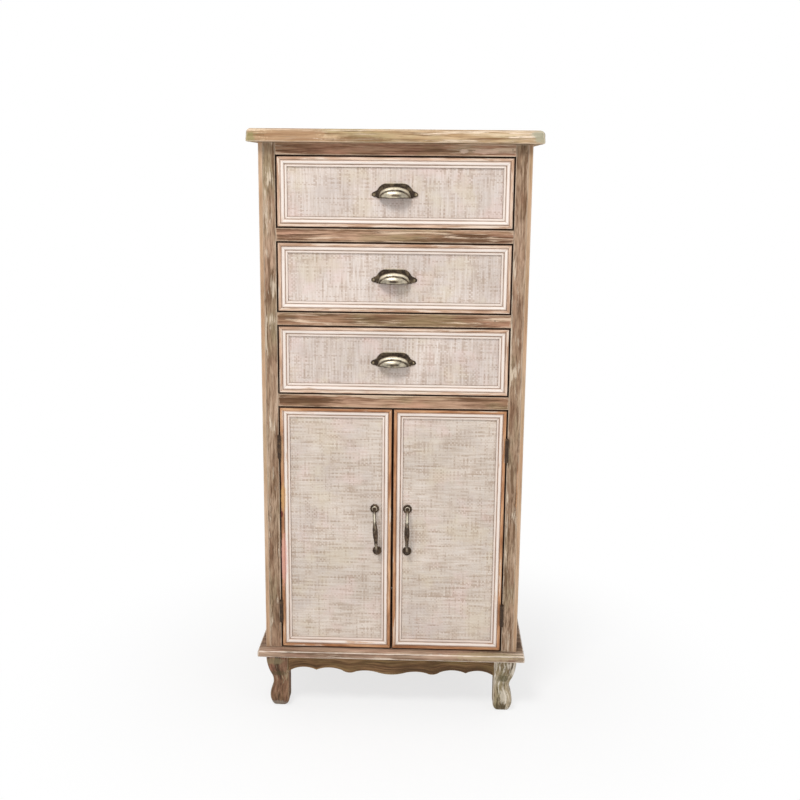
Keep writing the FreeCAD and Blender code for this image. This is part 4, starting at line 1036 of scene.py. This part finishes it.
def resampled(corners, count):
    """Evenly spaced points along a polyline."""
    corners = np.array(corners, float)
    steps = np.concatenate([[0], np.cumsum(np.linalg.norm(np.diff(corners, axis=0), axis=1))])
    places = np.linspace(0, steps[-1], count)
    return np.stack([np.interp(places, steps, part) for part in corners.T], 1)


def petals(turn, share):
    """A foot's rim swells and shrinks as the absolute value of a cosine of its angle."""
    return 1 - (0.05 * (1 - np.abs(np.cos(FLUTES / 2 * turn))) * smooth(share, 0.02, 0.05)
                * smooth(share, 0.5, 0.42))


def bow_shape(lower, upper):
    """Bar and feet of a pull whose feet have their centres at two places (x, z). At a distance d
    from the middle the radius is 2.8, plus 2 e^-(d / 15)^3 for the grip, plus small rings where
    the grip ends; the grip's flutes are a cosine of the angle round the bar."""
    (x_low, z_low), (x_high, z_high) = lower, upper
    half = math.hypot(x_high - x_low, z_high - z_low) / 2
    arc = np.linspace(0, math.pi / 2, 9)[1:-1]
    corner = [(-BOW_OUT + BOW_BEND * (1 - math.sin(a)), half - BOW_BEND * (1 - math.cos(a)))
              for a in arc]
    line = [(0, half), (-BOW_OUT + BOW_BEND, half)] + corner + [(-BOW_OUT, half - BOW_BEND)]
    path = resampled(line + [(y, -z) for y, z in reversed(line)], 150)
    ahead = np.gradient(path, axis=0)
    ahead /= np.linalg.norm(ahead, axis=1)[:, None]
    angle = np.arange(BAR_AROUND) * 2 * math.pi / BAR_AROUND
    d = np.abs(path[:, 1])
    straight = np.abs(path[:, 0] + BOW_OUT) < 0.5
    grip = (np.exp(-(d / GRIP_HALF) ** 3.0) * straight)[:, None]
    ring = (sum(bell(d - place, 0.9) for place in RINGS) * straight)[:, None]
    flute = 0.5 * np.cos(FLUTES * angle)[None, :]
    radius = (BAR_RADIUS + 2.0 * grip + 0.5 * ring) * (1 - 0.07 * grip * (0.5 + flute))
    normal = np.stack([-ahead[:, 1], ahead[:, 0]], 1)
    y = path[:, :1] + normal[:, :1] * np.cos(angle) * radius
    along = path[:, 1:] + normal[:, 1:] * np.cos(angle) * radius
    facing = 0.5 - 0.5 * (y - path[:, :1]) / radius
    # Painted highlight: the side facing the front is marked lighter, with a narrow bright line down
    # its middle, strong on the upper neck and weak on the lower; the grip is marked darker, most
    # where the flutes stand out.
    neck_highlight = 0.3 + 0.7 * smooth(d, 17.0, 24.0)
    neck_highlight = (neck_highlight * np.where(path[:, 1] > 0, 1.0, 0.3))[:, None]
    wear_and_highlight = 0.12 + 0.26 * facing + 0.75 * neck_highlight * facing ** 9 - 0.3 * grip * (0.5 - flute)
    points = np.stack([np.sin(angle) * radius, y, along], 2).reshape(-1, 3)
    shapes = [(points, grid_faces(len(path), BAR_AROUND, closed=True),
               {"wear_and_highlight": np.clip(wear_and_highlight, 0, 1).ravel()})]
    # Only the upper foot gets the ring of painted highlight.
    for sign, highlight_ring_at in ((-1, -1.0), (1, 4.2)):
        shapes.append(turned(FOOT, (0, 0, sign * half), (0, -1, 0), 64, petals, highlight_ring_at))
    points, faces, marks = join(shapes)
    lean = math.atan2(x_high - x_low, z_high - z_low)
    turn = np.array([[math.cos(lean), 0, math.sin(lean)], [0, 1, 0],
                     [-math.sin(lean), 0, math.cos(lean)]])
    middle = np.array([(x_low + x_high) / 2, BOARD_FACE, (z_low + z_high) / 2])
    return points @ turn.T + middle, faces, marks


BOWS = {"door_left": ((-27.26, 319.58), (-32.34, 400.42)),
        "door_right": ((28.0, 319.5), (28.0, 400.5))}
for door, feet in BOWS.items():
    piece(f"{door}_bow", bow_shape(*feet), PULL_BRONZE, door, [f"{door}_pull"],
          sharp=60)
    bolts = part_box(f"{door}_pull_bolts")
    print(door, "bolts start at", round(bolts[0].y / MM, 1))


# %% [markdown]
# ## Drawer boxes, runners and the inside
# Behind the fronts are plain softwood boards with little wear. Runners, guides, cleats and small
# fittings have plain shapes already: new meshes would add nothing, so they keep their CAD meshes
# and get a material that reads where they lie.

# %% Drawer boxes and materials for the parts that stay
SIDE_INNER, BOX_WORN, BOX_SIDE_WORN = 194.5, (0.6, 0.2, 0.05), (0.7, 0.3, 0.06)
for seed, front in zip((344, 347, 350), DRAWERS):
    for more, part in enumerate(("back", "bottom")):
        board_piece(f"{front}_{part}", "inner", 0, *BOX_WORN, (30, 8), seed + more, body=front)
    low, high = node_box(f"{front}_sides")
    sides = []
    for sign in (-1, 1):
        start, end = sorted((sign * SIDE_INNER, sign * high[0]))
        sides.append(board_shape((start, *low[1:]), (end, *high[1:]), 1, *BOX_SIDE_WORN, (20, 6),
                                 seed + 32 + sign))
    piece(f"{front}_side_boards", join(sides), woods["inner"], front,
          [f"{front}_sides"])


def strip_wood(name, light, dark):
    """Bare wood for parts that carry no marks, with the grain from front to back."""
    finish = Finish(name)
    place = finish.place()
    colour = place.noise((46, 6, 46), 4, 0.6, 0.4).ramp((0.35, dark), (0.65, light))
    lines = place.noise((600, 20, 600), 3, 0.6)
    colour = colour.mix(1.0, lines.ramp((0.3, (214, 206, 198)), (0.62, WHITE)), "MULTIPLY")
    return finish.done(colour, 0.8, lines, 0.0003)


def catch_plastic():
    """Off-white moulded plastic with a fine grain and grey scuffs."""
    finish = Finish("moulded_catches")
    place = finish.place()
    cloud = place.noise(90, 4)
    colour = cloud.ramp((0.35, (196, 190, 178)), (0.65, (222, 217, 206)))
    return finish.done(colour, cloud * 0.2 + 0.4, place.noise(1500), 0.0001)


STRIP = strip_wood("bare_strip_wood", (214, 180, 138), (186, 150, 108))
KEPT = {"runners": STRIP, "guides": STRIP, "cleats": STRIP, "catches": catch_plastic(),
        "pins": DARK_STEEL, "leaves": DARK_STEEL, "fixed": DARK_STEEL, "bolts": PLAIN_STEEL,
        "strike": PLAIN_STEEL}
for name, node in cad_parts.items():
    if not node.hide_render:
        node.data.materials.clear()
        node.data.materials.append(KEPT[name.split("_")[-1]])
        print("kept from CAD:", name)
print(sum(counts), "triangles in", len(counts), "new pieces")


# %% [markdown]
# ## Camera, light and floor
# The photo is a shop picture on pure white: a soft light from the upper left in front, a weaker
# one at the right, and light from all round. More light on the floor would bleach the cabinet, so
# the floor turns white by itself away from the object and keeps the shadow.

# %% Stage
def rotation(axis, degrees):
    """Turn about the x, y or z axis."""
    return Matrix.Rotation(math.radians(degrees), 4, axis)


def lamp(name, place, target, size, power):
    """A square area light that looks at a target."""
    light = bpy.data.lights.new(name, "AREA")
    light.size, light.energy = size, power
    made = linked(name, light)
    aim = (Vector(place) - Vector(target)).to_track_quat("Z", "Y")
    made.matrix_world = Matrix.Translation(place) @ aim.to_matrix().to_4x4()


def background_rays(finish):
    """1 for rays on which the background is seen: from the camera, in a reflection or through
    glass; 0 for rays that only bring light."""
    seen, *more = [finish.add("LightPath", out=kind) for kind in (
        "Is Camera Ray", "Is Glossy Ray", "Is Transmission Ray")]
    for kind in more:
        seen = finish.math("MAXIMUM", seen, kind)
    return seen


EYE, TO_LEFT, DOWN, LEAN = (0.0717, -2.0381, 1.0084), 1.792, 12.003, 0.561
camera = linked("camera", bpy.data.cameras.new("camera"))
camera.data.lens, camera.data.sensor_width = 48.66, 36.0
aim = rotation("Z", TO_LEFT) @ rotation("X", -DOWN) @ rotation("Y", -LEAN)
camera.matrix_world = Matrix.Translation(EYE) @ aim @ rotation("X", 90)
bpy.context.scene.camera = camera
lamp("key", (-0.7, -2.2, 3.2), (0, 0, 0.55), 0.9, 66)
lamp("fill", (2.2, -2.2, 1.0), (0, 0, 0.5), 1.8, 10)

world = bpy.data.worlds.new("white_room")
bpy.context.scene.world = world
world.use_nodes = True
room = Finish("white_room", world.node_tree)
seen, around = [room.add("Background", {"Color": linear(WHITE), "Strength": strength})
                for strength in (1.0, 0.58)]
mixed = room.add("MixShader", {0: background_rays(room), 1: around, 2: seen})
room.add("OutputWorld", {"Surface": mixed})

WHITE_FROM, WHITE_TO = 0.25, 0.8  # metres from the middle of the cabinet
paper = Finish("white_floor")
away = paper.place().stretch((1, 1, 0)).vector("LENGTH", out="Value")
plain = paper.add("BsdfDiffuse", {"Color": (0.93, 0.93, 0.93, 1.0)})
glow = paper.add("Emission", {"Color": linear(WHITE), "Strength": 1.0})
share = (away.between(WHITE_FROM, WHITE_TO) * 0.28 + 0.72) * background_rays(paper)
surface = paper.add("MixShader", {0: share, 1: plain, 2: glow})
paper.add("OutputMaterial", {"Surface": surface})
span = np.linspace(-30, 30, 13)
gx, gy = [part.ravel() for part in np.meshgrid(span, span, indexing="ij")]
floor_mesh = bpy.data.meshes.new("floor")
floor_mesh.from_pydata(np.stack([gx, gy, gx * 0], 1).tolist(), [],
                       grid_faces(len(span), len(span))[:, ::-1].tolist())
floor_mesh.materials.append(paper.material)
floor = linked("floor", floor_mesh)
bpy.context.scene.view_settings.view_transform = "Standard"
print("camera, two lights, a world and a floor")
